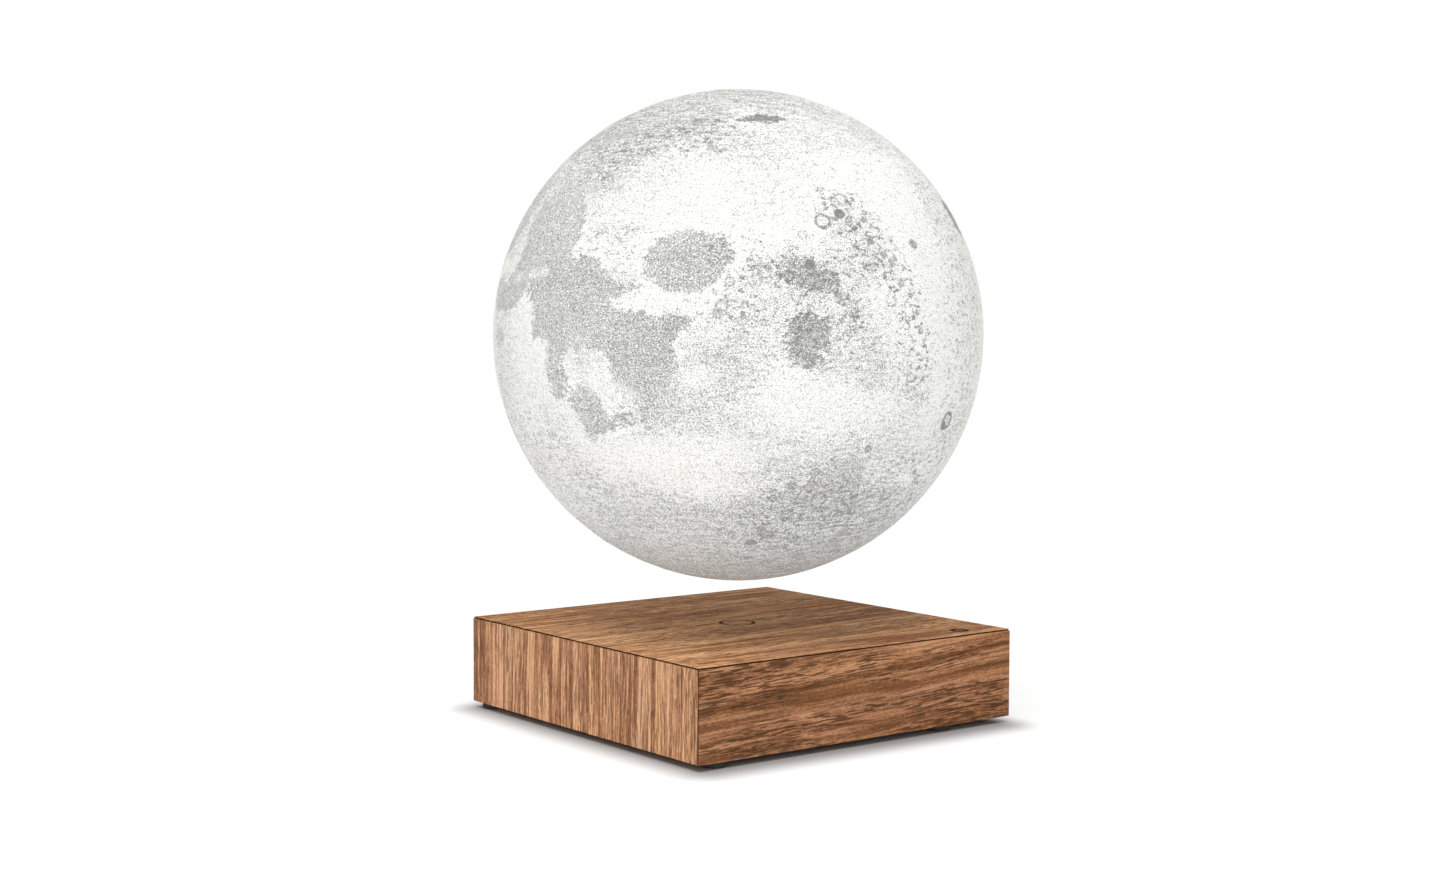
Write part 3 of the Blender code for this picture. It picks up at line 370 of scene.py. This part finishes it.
def walnut(name, turn, shift, stops, band_share, pore_share=1.0, marks=None):
    """Oiled walnut, its grain along X once turned; the shares set how much bands and pores show."""
    wood = Finish(name)
    grain = wood.turned(turn, shift)
    sway = wood.noise(grain, (7, 14, 14), 2)
    ripple = wood.noise(grain, (45, 60, 60), 2)
    aside = wood.math("MULTIPLY", wood.math("SUBTRACT", sway, 0.5), 14 * MM)
    aside = wood.math("MULTIPLY_ADD", wood.math("SUBTRACT", ripple, 0.5), 0.8 * MM, aside)
    sideways = wood.add("ShaderNodeCombineXYZ")
    wood.feed(sideways.inputs["Y"], aside)
    wood.feed(sideways.inputs["Z"], aside)
    grain = wood.vector("ADD", grain, sideways.outputs["Vector"])

    bands = wood.band(wood.noise(grain, (3, 62, 62), 2), 0.34, 0.66)
    streaks = wood.band(wood.noise(grain, (9, 450, 450), 3, 0.5), 0.36, 0.64)
    threads = wood.band(wood.noise(grain, (16, 1150, 1150), 3, 0.6), 0.35, 0.65)
    flecks = wood.band(wood.noise(grain, (700, 2100, 2100), 2, 0.7), 0.36, 0.64)
    tone = wood.math("MULTIPLY", bands, band_share)
    for part, share in ((streaks, 0.52 - band_share), (threads, 0.28), (flecks, 0.20)):
        tone = wood.math("MULTIPLY_ADD", part, share, tone)
    colour = wood.ramp(tone, *stops)
    hues = ((0.35, (1.0, 0.95, 0.86)), (0.65, (0.95, 0.91, 0.93)))
    hue = wood.ramp(wood.noise(grain, (5, 130, 130), 2), *hues)
    colour = wood.mix(0.8, colour, hue, "MULTIPLY")

    dark_line = tuple(0.2 * c for c in stops[2][1])
    lines = wood.band(wood.noise(grain, (18, 760, 760), 3, 0.55), 0.57, 0.66)
    colour = wood.mix(wood.math("MULTIPLY", lines, 0.5 * pore_share), colour, dark_line)
    where = wood.band(wood.noise(grain, (20, 120, 120), 2), 0.30, 0.50)
    pores = wood.band(wood.noise(grain, (150, 1900, 1900), 1, 0.5), 0.51, 0.57)
    pores = wood.math("MULTIPLY", pores, where)
    colour = wood.mix(wood.math("MULTIPLY", pores, 0.85 * pore_share), colour, dark_line)
    height = wood.math("MULTIPLY_ADD", threads, 0.3, wood.math("SUBTRACT", 1.0, pores))
    if marks is not None:
        colour = wood.mix(burnt_marks(wood, marks), colour, BURNT_WOOD)
    wood.set(Base_Color=colour, Roughness=wood.band(threads, 0, 1, 0.68, 0.52), Specular_IOR_Level=0.02)
    wood.bump(height, 0.06 * MM)
    return wood.material


def burnt_marks(wood, marks):
    """Darkness of the burnt grooves, and of the scorched wood beside each round one."""
    level = wood.level_in(wood.object)
    below, above = (wood.band(level, *(BASE_TOP - depth for depth in depths)) for depths in BURNT_DEPTHS)
    burnt = wood.math("MULTIPLY", below, above)
    for centre, radius, half_width in marks:
        apart = wood.vector("DISTANCE", wood.object, (*centre, BASE_TOP))
        off_line = wood.math("ABSOLUTE", wood.math("SUBTRACT", apart, radius))
        scorch = wood.band(off_line, half_width + SCORCH_WIDTH, half_width, 0.0, 0.9)
        burnt = wood.math("MAXIMUM", burnt, scorch)
    return burnt


# The woods, in copies with painted light and shade: how dark each tone of the grain is, darkest to palest
# painted light: the left and right boards' copy of the walnut, lighter for the light that falls on them
LIT_SIDES_WALNUT = (
    (0.24, (0.29, 0.130, 0.069)), (0.37, (0.43, 0.215, 0.120)), (0.5, (0.56, 0.298, 0.170)),
    (0.63, (0.68, 0.385, 0.218)), (0.76, (0.82, 0.49, 0.28)),
)
# the top's copy, with painted warmth that offsets the white light the moon throws on the top
TOP_WALNUT = (
    (0.24, (0.30, 0.115, 0.046)), (0.37, (0.465, 0.211, 0.092)), (0.5, (0.64, 0.33, 0.158)),
    (0.63, (0.79, 0.44, 0.22)), (0.76, (0.93, 0.56, 0.30)),
)
# painted shade: the front and back boards' copy of the same walnut, darker for the shade on them
SHADED_SIDES_WALNUT = (
    (0.26, (0.21, 0.090, 0.040)), (0.38, (0.305, 0.142, 0.069)), (0.5, (0.40, 0.197, 0.100)),
    (0.62, (0.49, 0.246, 0.128)), (0.74, (0.59, 0.315, 0.171)),
)

# The burnt marks: centre, radius and half width of the round lines, and the depths the burning fades at
ROUND_MARKS = (((0, 0), 5.45 * MM, 0.42 * MM), ((47.1 * MM, -55.1 * MM), 2.2 * MM, 0.75 * MM))
BURNT_DEPTHS = ((0.04 * MM, 0.1 * MM), (0.5 * MM, 0.45 * MM))
SCORCH_WIDTH = 0.5 * MM
BURNT_WOOD = (0.028, 0.014, 0.009)


def finish_walnut_case():
    upright = (0, pi / 2, 0)
    slant = radians(3)
    top = walnut("walnut_top", (0, 0, radians(-1.5)), (0.31, 0.2, 0.1), TOP_WALNUT, 0.28, 0.9, ROUND_MARKS)
    dress("top_panel", top)
    # painted light and shade: the left and right boards take the lighter copy, the front and back the darker
    dress("left_panel", walnut("walnut_left", upright, (0.05, 0.74, 0.4), LIT_SIDES_WALNUT, 0.14, 0.7))
    dress("right_panel", walnut("walnut_right", upright, (0.6, 0.12, 0.9), LIT_SIDES_WALNUT, 0.14, 0.7))
    dress("front_panel", walnut("walnut_front", (0, slant, 0), (0.9, 0.5, 0.3), SHADED_SIDES_WALNUT, 0.26))
    dress("back_panel", walnut("walnut_back", (0, -slant, 0), (1.4, 0.9, 0.7), SHADED_SIDES_WALNUT, 0.26))


def moulded(name, colour, roughness, grain, depth):
    """Moulded plastic or rubber with a fine texture."""
    skin = Finish(name)
    specks = skin.noise(skin.object, grain, 3)
    patches = skin.noise(skin.object, grain / 20, 3)
    dark = tuple(0.75 * c for c in colour)
    light = tuple(min(1.0, 1.25 * c) for c in colour)
    shade = skin.math("MULTIPLY_ADD", specks, 0.5, skin.math("MULTIPLY", patches, 0.5))
    skin.set(
        Base_Color=skin.ramp(shade, (0.35, dark), (0.65, light)),
        Roughness=skin.band(specks, 0.3, 0.7, roughness - 0.06, roughness + 0.06),
    )
    skin.bump(specks, depth * MM)
    return skin.material


def metal(name, colour, roughness, brushed):
    """Bare metal with fine marks, so many to the metre along each axis."""
    bare = Finish(name, metallic=1.0)
    marks = bare.noise(bare.object, brushed, 3)
    dark = tuple(0.82 * c for c in colour)
    bare.set(
        Base_Color=bare.ramp(marks, (0.3, dark), (0.7, colour)),
        Roughness=bare.band(marks, 0.3, 0.7, roughness - 0.08, roughness + 0.08),
    )
    bare.bump(marks, 0.01 * MM)
    return bare.material


def wound_copper(name):
    """Enamelled wire in close turns."""
    wire = Finish(name, metallic=1.0)
    turns = wire.math("SINE", wire.math("MULTIPLY", wire.level_in(wire.object), 2 * pi / (0.45 * MM)))
    patches = wire.noise(wire.object, 400, 2)
    shade = wire.math("MULTIPLY_ADD", turns, 0.2, patches)
    wire.set(
        Base_Color=wire.ramp(shade, (0.2, (0.38, 0.12, 0.045)), (0.8, (0.78, 0.34, 0.16))),
        Roughness=wire.band(patches, 0.3, 0.7, 0.25, 0.4),
    )
    wire.bump(turns, 0.06 * MM)
    return wire.material


def solder_mask(name, colour, track):
    """A circuit board under lacquer, with faint tracks."""
    board = Finish(name, roughness=0.3)
    cells = board.add("ShaderNodeTexBrick")
    board.feed(cells.inputs["Vector"], board.object)
    for socket, value in (("Scale", 220.0), ("Mortar Size", 0.05), ("Mortar Smooth", 0.3)):
        cells.inputs[socket].default_value = value
    patches = board.noise(board.object, 150, 3)
    ground = board.ramp(patches, (0.3, tuple(0.8 * c for c in colour)), (0.7, colour))
    board.set(Base_Color=board.mix(cells.outputs["Fac"], ground, track), Coat_Weight=0.3)
    board.bump(cells.outputs["Fac"], 0.03 * MM)
    return board.material


def sawn_wood(name):
    block = Finish(name)
    growth = block.noise(block.object, (90, 900, 60), 4, 0.6)
    fibres = block.noise(block.object, (2500, 2500, 90), 2)
    colour = block.ramp(growth, (0.3, (0.42, 0.27, 0.14)), (0.7, (0.62, 0.45, 0.27)))
    block.set(Base_Color=colour, Roughness=block.band(fibres, 0.3, 0.7, 0.6, 0.8))
    block.bump(fibres, 0.05 * MM)
    return block.material


def finish_inner_pieces():
    """The plainer pieces keep their CAD shape, and each gets the finish of its slot."""
    finishes = {
        "cover_plastic": moulded("black_cover", (0.022, 0.021, 0.021), 0.55, 1300, 0.04),
        "rubber": moulded("foot_rubber", (0.022, 0.018, 0.015), 0.8, 1100, 0.05),
        "block_wood": sawn_wood("corner_block_wood"),
        "steel": metal("zinc_plated_steel", (0.62, 0.62, 0.63), 0.34, (900, 900, 900)),
        "board_green": solder_mask("green_board", (0.012, 0.10, 0.04), (0.03, 0.19, 0.08)),
        "board_white": solder_mask("white_board", (0.78, 0.78, 0.75), (0.68, 0.68, 0.62)),
        "ferrite": moulded("ground_ferrite", (0.07, 0.07, 0.075), 0.5, 2500, 0.03),
        "copper": wound_copper("enamelled_copper"),
        "chip_black": moulded("moulded_chip", (0.018, 0.018, 0.019), 0.45, 3000, 0.02),
        "aluminium": metal("drawn_aluminium", (0.74, 0.74, 0.76), 0.3, (200, 200, 3000)),
        "lead_red": moulded("red_insulation", (0.42, 0.02, 0.015), 0.35, 1800, 0.01),
        "jack_plastic": moulded("socket_plastic", (0.02, 0.02, 0.02), 0.35, 1800, 0.02),
        "magnet_nickel": metal("nickel_plate", (0.68, 0.65, 0.60), 0.2, (250, 250, 250)),
        "led_yellow": moulded("led_phosphor", (0.85, 0.56, 0.10), 0.4, 3000, 0.02),
    }
    for part in frame["record"]["subparts"]:
        if part["material_slot"] in finishes:
            dress(part["node"], finishes[part["material_slot"]])


def map_axes():
    """The moon's own directions in the room: longitude 0, longitude 90 and north."""
    to_camera = Vector((cos(CAMERA_BEARING), sin(CAMERA_BEARING), 0))
    lean = Matrix.Rotation(-MAP_LEAN, 3, to_camera)
    turn = Matrix.Rotation(CAMERA_BEARING - FACING_LONGITUDE, 3, "Z")
    return lean @ turn


MAP_TO_ROOM = map_axes()
ROOM_TO_MAP = MAP_TO_ROOM.inverted()


def on_map(latitude, longitude):
    """The direction of a place on the moon's map, in the map's own axes."""
    across, up = radians(longitude), radians(latitude)
    return Vector((cos(up) * cos(across), cos(up) * sin(across), sin(up)))


def map_places(piece):
    """Each vertex as a ray from the ball's middle, its length, and its direction on the map."""
    places = np.empty(len(piece.data.vertices) * 3)
    piece.data.vertices.foreach_get("co", places)
    rays = places.reshape(-1, 3) - np.array(MOON_CENTRE)
    lengths = np.linalg.norm(rays, axis=1)
    return rays, lengths, (rays / lengths[:, None]) @ np.array(ROOM_TO_MAP).T


def cover_of(places, ovals, edge):
    """How far each place lies inside the ovals, from 0 to 1, and how dark they are there."""
    outside = np.ones(len(places))
    tone = np.zeros(len(places))
    total = np.full(len(places), 1e-6)
    for latitude, longitude, half_width, half_height, turn, strength in ovals:
        centre = on_map(latitude, longitude)
        east = Vector((-sin(radians(longitude)), cos(radians(longitude)), 0))
        north = centre.cross(east)
        c, s = cos(radians(turn)), sin(radians(turn))
        wide = (east * c + north * s) / radians(half_width)
        high = (north * c - east * s) / radians(half_height)
        near = places @ np.array(centre)
        distance = np.hypot(places @ np.array(wide), places @ np.array(high)) / np.sqrt(np.maximum(near, 0.5))
        cover = 0.5 + (1 - distance) * radians(min(half_width, half_height)) / edge
        cover = np.where(near > 0.4, np.clip(cover, 0, 1), 0)
        outside *= 1 - cover
        tone += cover * strength
        total += cover
    return 1 - outside, tone / total


def paint_map(piece):
    """Stores the map's seas, veils, bright lands and specks as attributes of the mesh."""
    layers = (
        ("sea", SEAS, radians(4.5)),
        ("veil", VEILS, radians(9)),
        ("bright", BRIGHTS, radians(5)),
        ("specks", SPECKS, radians(7)),
    )
    _, _, places = map_places(piece)
    for name, ovals, edge in layers:
        cover, tone = cover_of(places, ovals, edge)
        piece.data.attributes.new(name, "FLOAT", "POINT").data.foreach_set("value", cover)
        piece.data.attributes.new(name + "_tone", "FLOAT", "POINT").data.foreach_set("value", tone)


def sink_relief(piece):
    """Presses the printed relief into the ball: rough lands, sunken seas and crater bowls."""
    rays, lengths, places = map_places(piece)
    sea = np.empty(len(places))
    piece.data.attributes["sea"].data.foreach_get("value", sea)
    rough = np.array([noise.fractal(Vector(place) * 9, 0.7, 2.1, 6) for place in places])
    sunk = ROUGH_DEPTH * (1 + rough) * (1 - 0.65 * sea) + SEA_DEPTH * sea
    bowls = np.zeros(len(places))
    for latitude, longitude, radius, _, _ in CRATERS:
        near = places @ np.array(on_map(latitude, longitude))
        across = np.sqrt(np.maximum(0, 2 - 2 * near)) / radians(radius)
        bowls = np.maximum(bowls, np.clip((1.15 - across) / 0.5, 0, 1) * radius / WIDEST_CRATER)
    sunk = np.maximum(0, sunk + CRATER_DEPTH * bowls)
    level = rays[:, 2] + MOON_CENTRE.z
    on_skin = (lengths > MOON_RADIUS - SHELL_WALL / 2) & (level > CUP_LOW.z + SMOOTH_FOOT)
    rays *= np.where(on_skin, 1 - sunk / lengths, 1)[:, None]
    piece.data.vertices.foreach_set("co", (rays + np.array(MOON_CENTRE)).ravel())
    piece.data.update()


def moon_print():
    """White print in fine layers, with the moon's map in grey and a mild glow."""
    skin = Finish("moon_print", roughness=0.75)
    ball = skin.vector("SUBTRACT", skin.object, tuple(MOON_CENTRE))
    flat = skin.vector("MULTIPLY", ball, (1, 1, 1.5))
    blotches = skin.noise(flat, 120, 5, 0.66)
    crumbs = skin.noise(flat, 500, 4, 0.66)
    grain = skin.noise(flat, 2400, 2, 0.7)
    streaks = skin.noise(ball, (160, 160, 1750), 3, 0.66)
    off_blotches = skin.math("SUBTRACT", blotches, 0.5)
    off_crumbs = skin.math("SUBTRACT", crumbs, 0.5)
    off_grain = skin.math("SUBTRACT", grain, 0.5)
    wander = skin.math("MULTIPLY_ADD", off_crumbs, 1.1, off_blotches)
    wander = skin.math("MULTIPLY_ADD", off_grain, 0.5, wander)

    def smudged(name, amount, low, high):
        reach = skin.math("MULTIPLY_ADD", wander, amount, skin.attribute(name))
        return skin.math("MULTIPLY", skin.band(reach, low, high), skin.attribute(name + "_tone"))

    sea = smudged("sea", 1.1, 0.38, 0.6)
    sea = skin.math("MULTIPLY", sea, skin.band(wander, -0.2, 0.2, 0.88, 1.1))
    streaky = skin.math("MULTIPLY_ADD", streaks, 0.42, skin.math("MULTIPLY", crumbs, 0.28))
    streaky = skin.math("MULTIPLY_ADD", grain, 0.3, streaky)
    level = skin.level_in(ball)
    south_pole = skin.band(level, *SOUTH_LEVELS, 0.0, SOUTH_SHADE)
    veil = skin.math("MAXIMUM", smudged("veil", 0.9, 0.15, 0.95), south_pole)
    veil = skin.math("MULTIPLY", veil, skin.band(streaky, 0.41, 0.59, 0.4, 1.5))
    bright = smudged("bright", 0.8, 0.3, 0.8)
    dark = skin.math("MAXIMUM", sea, veil)
    dark = skin.math("MULTIPLY", dark, skin.math("MULTIPLY_ADD", bright, -0.85, 1.0))

    broken = skin.band(crumbs, 0.44, 0.56)
    pits = skin.math("MAXIMUM", craterlets(skin, flat, 150), craterlets(skin, flat, 310))
    pits = skin.math("MAXIMUM", skin.math("MULTIPLY", pits, 0.65), skin.band(crumbs, 0.57, 0.64))
    pitted = skin.math("MULTIPLY_ADD", smudged("specks", 0.8, 0.25, 0.85), 1.4, 0.2)
    pits = skin.math("MULTIPLY", skin.math("MULTIPLY", pits, broken), pitted)
    dark = skin.math("ADD", dark, pits)

    marks = skin.math("MULTIPLY", crater_marks(skin, ball, wander), skin.band(crumbs, 0.32, 0.46, 0.6, 1.0))
    dark = skin.math("MAXIMUM", dark, marks)
    plain = skin.math("MULTIPLY_ADD", bright, -0.55, 1.0)
    lines = skin.math("MULTIPLY", skin.band(streaky, 0.50, 0.62), plain)
    dark = skin.math("MULTIPLY_ADD", lines, 0.28, dark)
    strength = skin.math("MULTIPLY_ADD", skin.math("MINIMUM", dark, 1.0), 4.4, 5.4)
    dark = skin.math("ADD", skin.math("MULTIPLY_ADD", off_grain, strength, dark), 0.04)
    colour = skin.ramp(skin.math("MULTIPLY", dark, 0.4), *MOON_GREYS)
    # painted bluish tint on the lower half, offsetting the warm light bounced up from the walnut
    bounce_offset = skin.band(level, *BOUNCE_OFFSET_LEVELS)
    colour = skin.mix(bounce_offset, colour, skin.mix(1.0, colour, BOUNCE_OFFSET_TINT, "MULTIPLY"))
    skin.set(
        Base_Color=colour,
        Specular_IOR_Level=0.2,
        Emission_Color=GLOW_COLOUR,
        Emission_Strength=MOON_GLOW,
    )
    low = skin.bump(streaks, 0.08 * MM)
    skin.bump(wander, 0.10 * MM, low)
    return skin.material


def craterlets(skin, place, scale):
    """Thin rings of many sizes, where the surface cuts round cells."""
    cells = skin.add("ShaderNodeTexVoronoi")
    skin.feed(cells.inputs["Vector"], place)
    cells.inputs["Scale"].default_value = scale
    off_ring = skin.math("ABSOLUTE", skin.math("SUBTRACT", cells.outputs["Distance"], 0.33))
    return skin.band(off_ring, 0.08, 0.03)


def crater_group():
    """How dark a crater's floor and rim are at a place, as a node group."""
    group = bpy.data.node_groups.new("crater", "ShaderNodeTree")
    for name in ("Place", "Centre"):
        group.interface.new_socket(name, in_out="INPUT", socket_type="NodeSocketVector")
    for name in ("Radius", "Floor", "Rim", "Wander"):
        group.interface.new_socket(name, in_out="INPUT", socket_type="NodeSocketFloat")
    group.interface.new_socket("Dark", in_out="OUTPUT", socket_type="NodeSocketFloat")
    nodes = Nodes(group)
    given = nodes.add("NodeGroupInput").outputs
    across = nodes.math("DIVIDE", nodes.vector("DISTANCE", given["Place"], given["Centre"]), given["Radius"])
    across = nodes.math("MULTIPLY_ADD", given["Wander"], 0.9, across)
    floor = nodes.math("MULTIPLY", nodes.band(across, 0.7, 1.0, 1.0, 0.0), given["Floor"])
    off_rim = nodes.math("ABSOLUTE", nodes.math("SUBTRACT", across, 0.85))
    rim = nodes.math("MULTIPLY", nodes.band(off_rim, 0.08, 0.3, 1.0, 0.0), given["Rim"])
    nodes.feed(nodes.add("NodeGroupOutput").inputs["Dark"], nodes.math("MAXIMUM", floor, rim))
    return group


def crater_marks(skin, ball, wander):
    """All craters of the table, each a group node, the darkest winning."""
    group = crater_group()
    unit = skin.vector("NORMALIZE", ball, (0, 0, 0))
    darkest = 0.0
    for latitude, longitude, radius, floor, rim in CRATERS:
        crater = skin.add("ShaderNodeGroup")
        crater.node_tree = group
        centre = MAP_TO_ROOM @ on_map(latitude, longitude)
        values = (unit, tuple(centre), radians(radius), floor, rim, wander)
        for socket, value in zip(crater.inputs, values):
            skin.feed(socket, value)
        darkest = skin.math("MAXIMUM", darkest, crater.outputs["Dark"])
    return darkest


def select_where(piece, test):
    """Selects the vertices whose place passes the test, for the next step in edit mode."""
    bpy.ops.object.mode_set(mode="OBJECT")
    for vertex in piece.data.vertices:
        vertex.select = test(vertex.co)
    bpy.ops.object.mode_set(mode="EDIT")


def make_moon_shade():
    """The hollow ball with its collar round the hole, closed all over."""
    cut_level = MOON_CENTRE.z - sqrt(MOON_RADIUS ** 2 - OPENING_RADIUS ** 2)
    collar_radius = OPENING_RADIUS + COLLAR_WALL
    inner_radius = MOON_RADIUS - SHELL_WALL
    inner_level = MOON_CENTRE.z - sqrt(inner_radius ** 2 - collar_radius ** 2)

    deselect()
    bpy.ops.mesh.primitive_uv_sphere_add(
        segments=INSIDE_SEGMENTS, ring_count=INSIDE_RINGS, radius=inner_radius, location=MOON_CENTRE
    )
    inside = apply_place(bpy.context.object)
    bpy.ops.object.mode_set(mode="EDIT")
    bpy.ops.mesh.select_all(action="SELECT")
    bpy.ops.mesh.bisect(plane_co=(0, 0, inner_level), plane_no=(0, 0, 1), clear_inner=True)
    bpy.ops.mesh.select_all(action="SELECT")
    bpy.ops.mesh.flip_normals()

    deselect()
    bpy.ops.mesh.primitive_uv_sphere_add(
        segments=MOON_SEGMENTS, ring_count=MOON_RINGS, radius=MOON_RADIUS, location=MOON_CENTRE
    )
    ball = apply_place(bpy.context.object)
    ball.name = "moon_shade"
    ball.data.name = "moon_shade"
    bpy.ops.object.mode_set(mode="EDIT")
    bpy.ops.mesh.select_all(action="SELECT")
    bpy.ops.mesh.bisect(plane_co=(0, 0, cut_level), plane_no=(0, 0, 1), clear_inner=True)
    bpy.ops.mesh.select_mode(type="VERT")
    select_where(ball, lambda co: co.z < cut_level + SAME_LEVEL)
    bpy.ops.mesh.extrude_region_move(TRANSFORM_OT_translate={"value": (0, 0, CUP_HIGH.z - cut_level)})
    bpy.ops.mesh.extrude_region_move(TRANSFORM_OT_translate={"value": (0, 0, 0)})
    widen = collar_radius / OPENING_RADIUS
    bpy.ops.transform.resize(value=(widen, widen, 1), center_override=(0, 0, CUP_HIGH.z))
    bpy.ops.mesh.extrude_region_move(TRANSFORM_OT_translate={"value": (0, 0, inner_level - CUP_HIGH.z)})

    deselect()
    inside.select_set(True)
    ball.select_set(True)
    bpy.context.view_layer.objects.active = ball
    bpy.ops.object.join()
    bpy.ops.object.mode_set(mode="EDIT")
    bpy.ops.mesh.select_mode(type="EDGE")
    bpy.ops.mesh.select_all(action="DESELECT")
    bpy.ops.mesh.select_non_manifold(extend=False, use_wire=False, use_boundary=True, use_multi_face=False,
                                     use_non_contiguous=False, use_verts=False)
    bpy.ops.mesh.bridge_edge_loops()
    bpy.ops.mesh.select_all(action="SELECT")
    bpy.ops.mesh.normals_make_consistent(inside=False)
    deselect()
    paint_map(ball)
    sink_relief(ball)
    pick(ball)
    bpy.ops.object.shade_smooth_by_angle(angle=radians(40))
    return ball


def set_camera():
    camera = bpy.data.objects.new("camera", bpy.data.cameras.new("camera"))
    bpy.context.scene.collection.objects.link(camera)
    bpy.context.scene.camera = camera
    camera.data.sensor_width = SENSOR_WIDTH
    camera.data.sensor_fit = "HORIZONTAL"
    camera.data.lens = FOCAL_PIXELS / IMAGE_WIDTH * SENSOR_WIDTH
    camera.data.clip_start = CLIP_START
    camera.data.clip_end = CLIP_END
    ahead = Vector((
        -sin(CAMERA_TURN) * cos(CAMERA_DIP), cos(CAMERA_TURN) * cos(CAMERA_DIP), -sin(CAMERA_DIP)
    ))
    right = Vector((cos(CAMERA_TURN), sin(CAMERA_TURN), 0))
    up = right.cross(ahead)
    middle_of_top = Vector((0, 0, BASE_TOP))
    place = middle_of_top - ahead * CAMERA_DISTANCE - right * CAMERA_ASIDE + up * CAMERA_RAISED
    axes = Matrix((right, up, -ahead)).transposed()
    camera.matrix_world = Matrix.Translation(place) @ (axes @ Matrix.Rotation(CAMERA_ROLL, 3, "Z")).to_4x4()


def set_light():
    """A pale sky all round, a wide lamp overhead and a lower one beside the camera."""
    world = bpy.data.worlds.new("studio")
    bpy.context.scene.world = world
    world.use_nodes = True
    nodes = Nodes(world.node_tree)
    sky = nodes.tree.nodes["Background"]
    sky.inputs["Color"].default_value = (1, 1, 1, 1)
    path = nodes.add("ShaderNodeLightPath").outputs
    seen = nodes.math("MAXIMUM", path["Is Camera Ray"], path["Is Glossy Ray"])
    seen = nodes.math("MAXIMUM", seen, path["Is Transmission Ray"])
    nodes.feed(sky.inputs["Strength"], nodes.band(seen, 0, 1, SKY_STRENGTH, 1.0))

    lamps = (
        ("overhead_lamp", OVERHEAD_STRENGTH, OVERHEAD_ANGLE, OVERHEAD_PLACE),
        ("side_lamp", SIDE_STRENGTH, SIDE_ANGLE, SIDE_PLACE),
    )
    for name, strength, angle, place in lamps:
        lamp = bpy.data.lights.new(name, "SUN")
        lamp.energy = strength
        lamp.angle = angle
        sun = bpy.data.objects.new(name, lamp)
        bpy.context.scene.collection.objects.link(sun)
        sun.rotation_euler = place.to_track_quat("Z", "Y").to_euler()
    bpy.context.scene.view_settings.view_transform = "Standard"


def make_floor():
    """A pale floor, seen by the camera grey at the base and white away from it: painted shadow and light."""
    deselect()
    bpy.ops.mesh.primitive_circle_add(vertices=64, radius=FLOOR_RADIUS, fill_type="NGON")
    floor = bpy.context.object
    floor.name = "floor"
    paint = Finish("floor_paint", roughness=0.9)
    path = paint.add("ShaderNodeLightPath")
    seen = paint.math("MAXIMUM", path.outputs["Is Camera Ray"], path.outputs["Is Glossy Ray"])
    # painted light: the glow whitens the floor away from the base, leaving a painted shadow of grey at it
    off_base = paint.vector("SUBTRACT", paint.object, (*GLOW_MIDDLE, 0))
    off_base = paint.vector("ABSOLUTE", off_base, (0, 0, 0))
    off_base = paint.vector("SUBTRACT", off_base, (*(BASE_HALF - trim for trim in GLOW_TRIM), 0))
    off_base = paint.vector("MAXIMUM", off_base, (0, 0, 0))
    away = paint.band(paint.vector("LENGTH", off_base, (0, 0, 0)), GLOW_START, GLOW_END, 0, FLOOR_PAINTED_GLOW)
    paint.set(
        Base_Color=paint.mix(seen, (FLOOR_PAINT,) * 3, (FLOOR_SHADOW_GREY,) * 3),
        Specular_IOR_Level=0.0,
        Emission_Color=(1.0, 1.0, 1.0, 1.0),
        Emission_Strength=paint.math("MULTIPLY", seen, away),
    )
    floor.data.materials.append(paint.material)


set_camera()
set_light()
make_floor()
finish_walnut_case()
finish_inner_pieces()
print_finish = moon_print()
place_piece(make_moon_shade(), print_finish, "moon", "moon_print", "moon_shell")
dress("magnet_cup", print_finish)
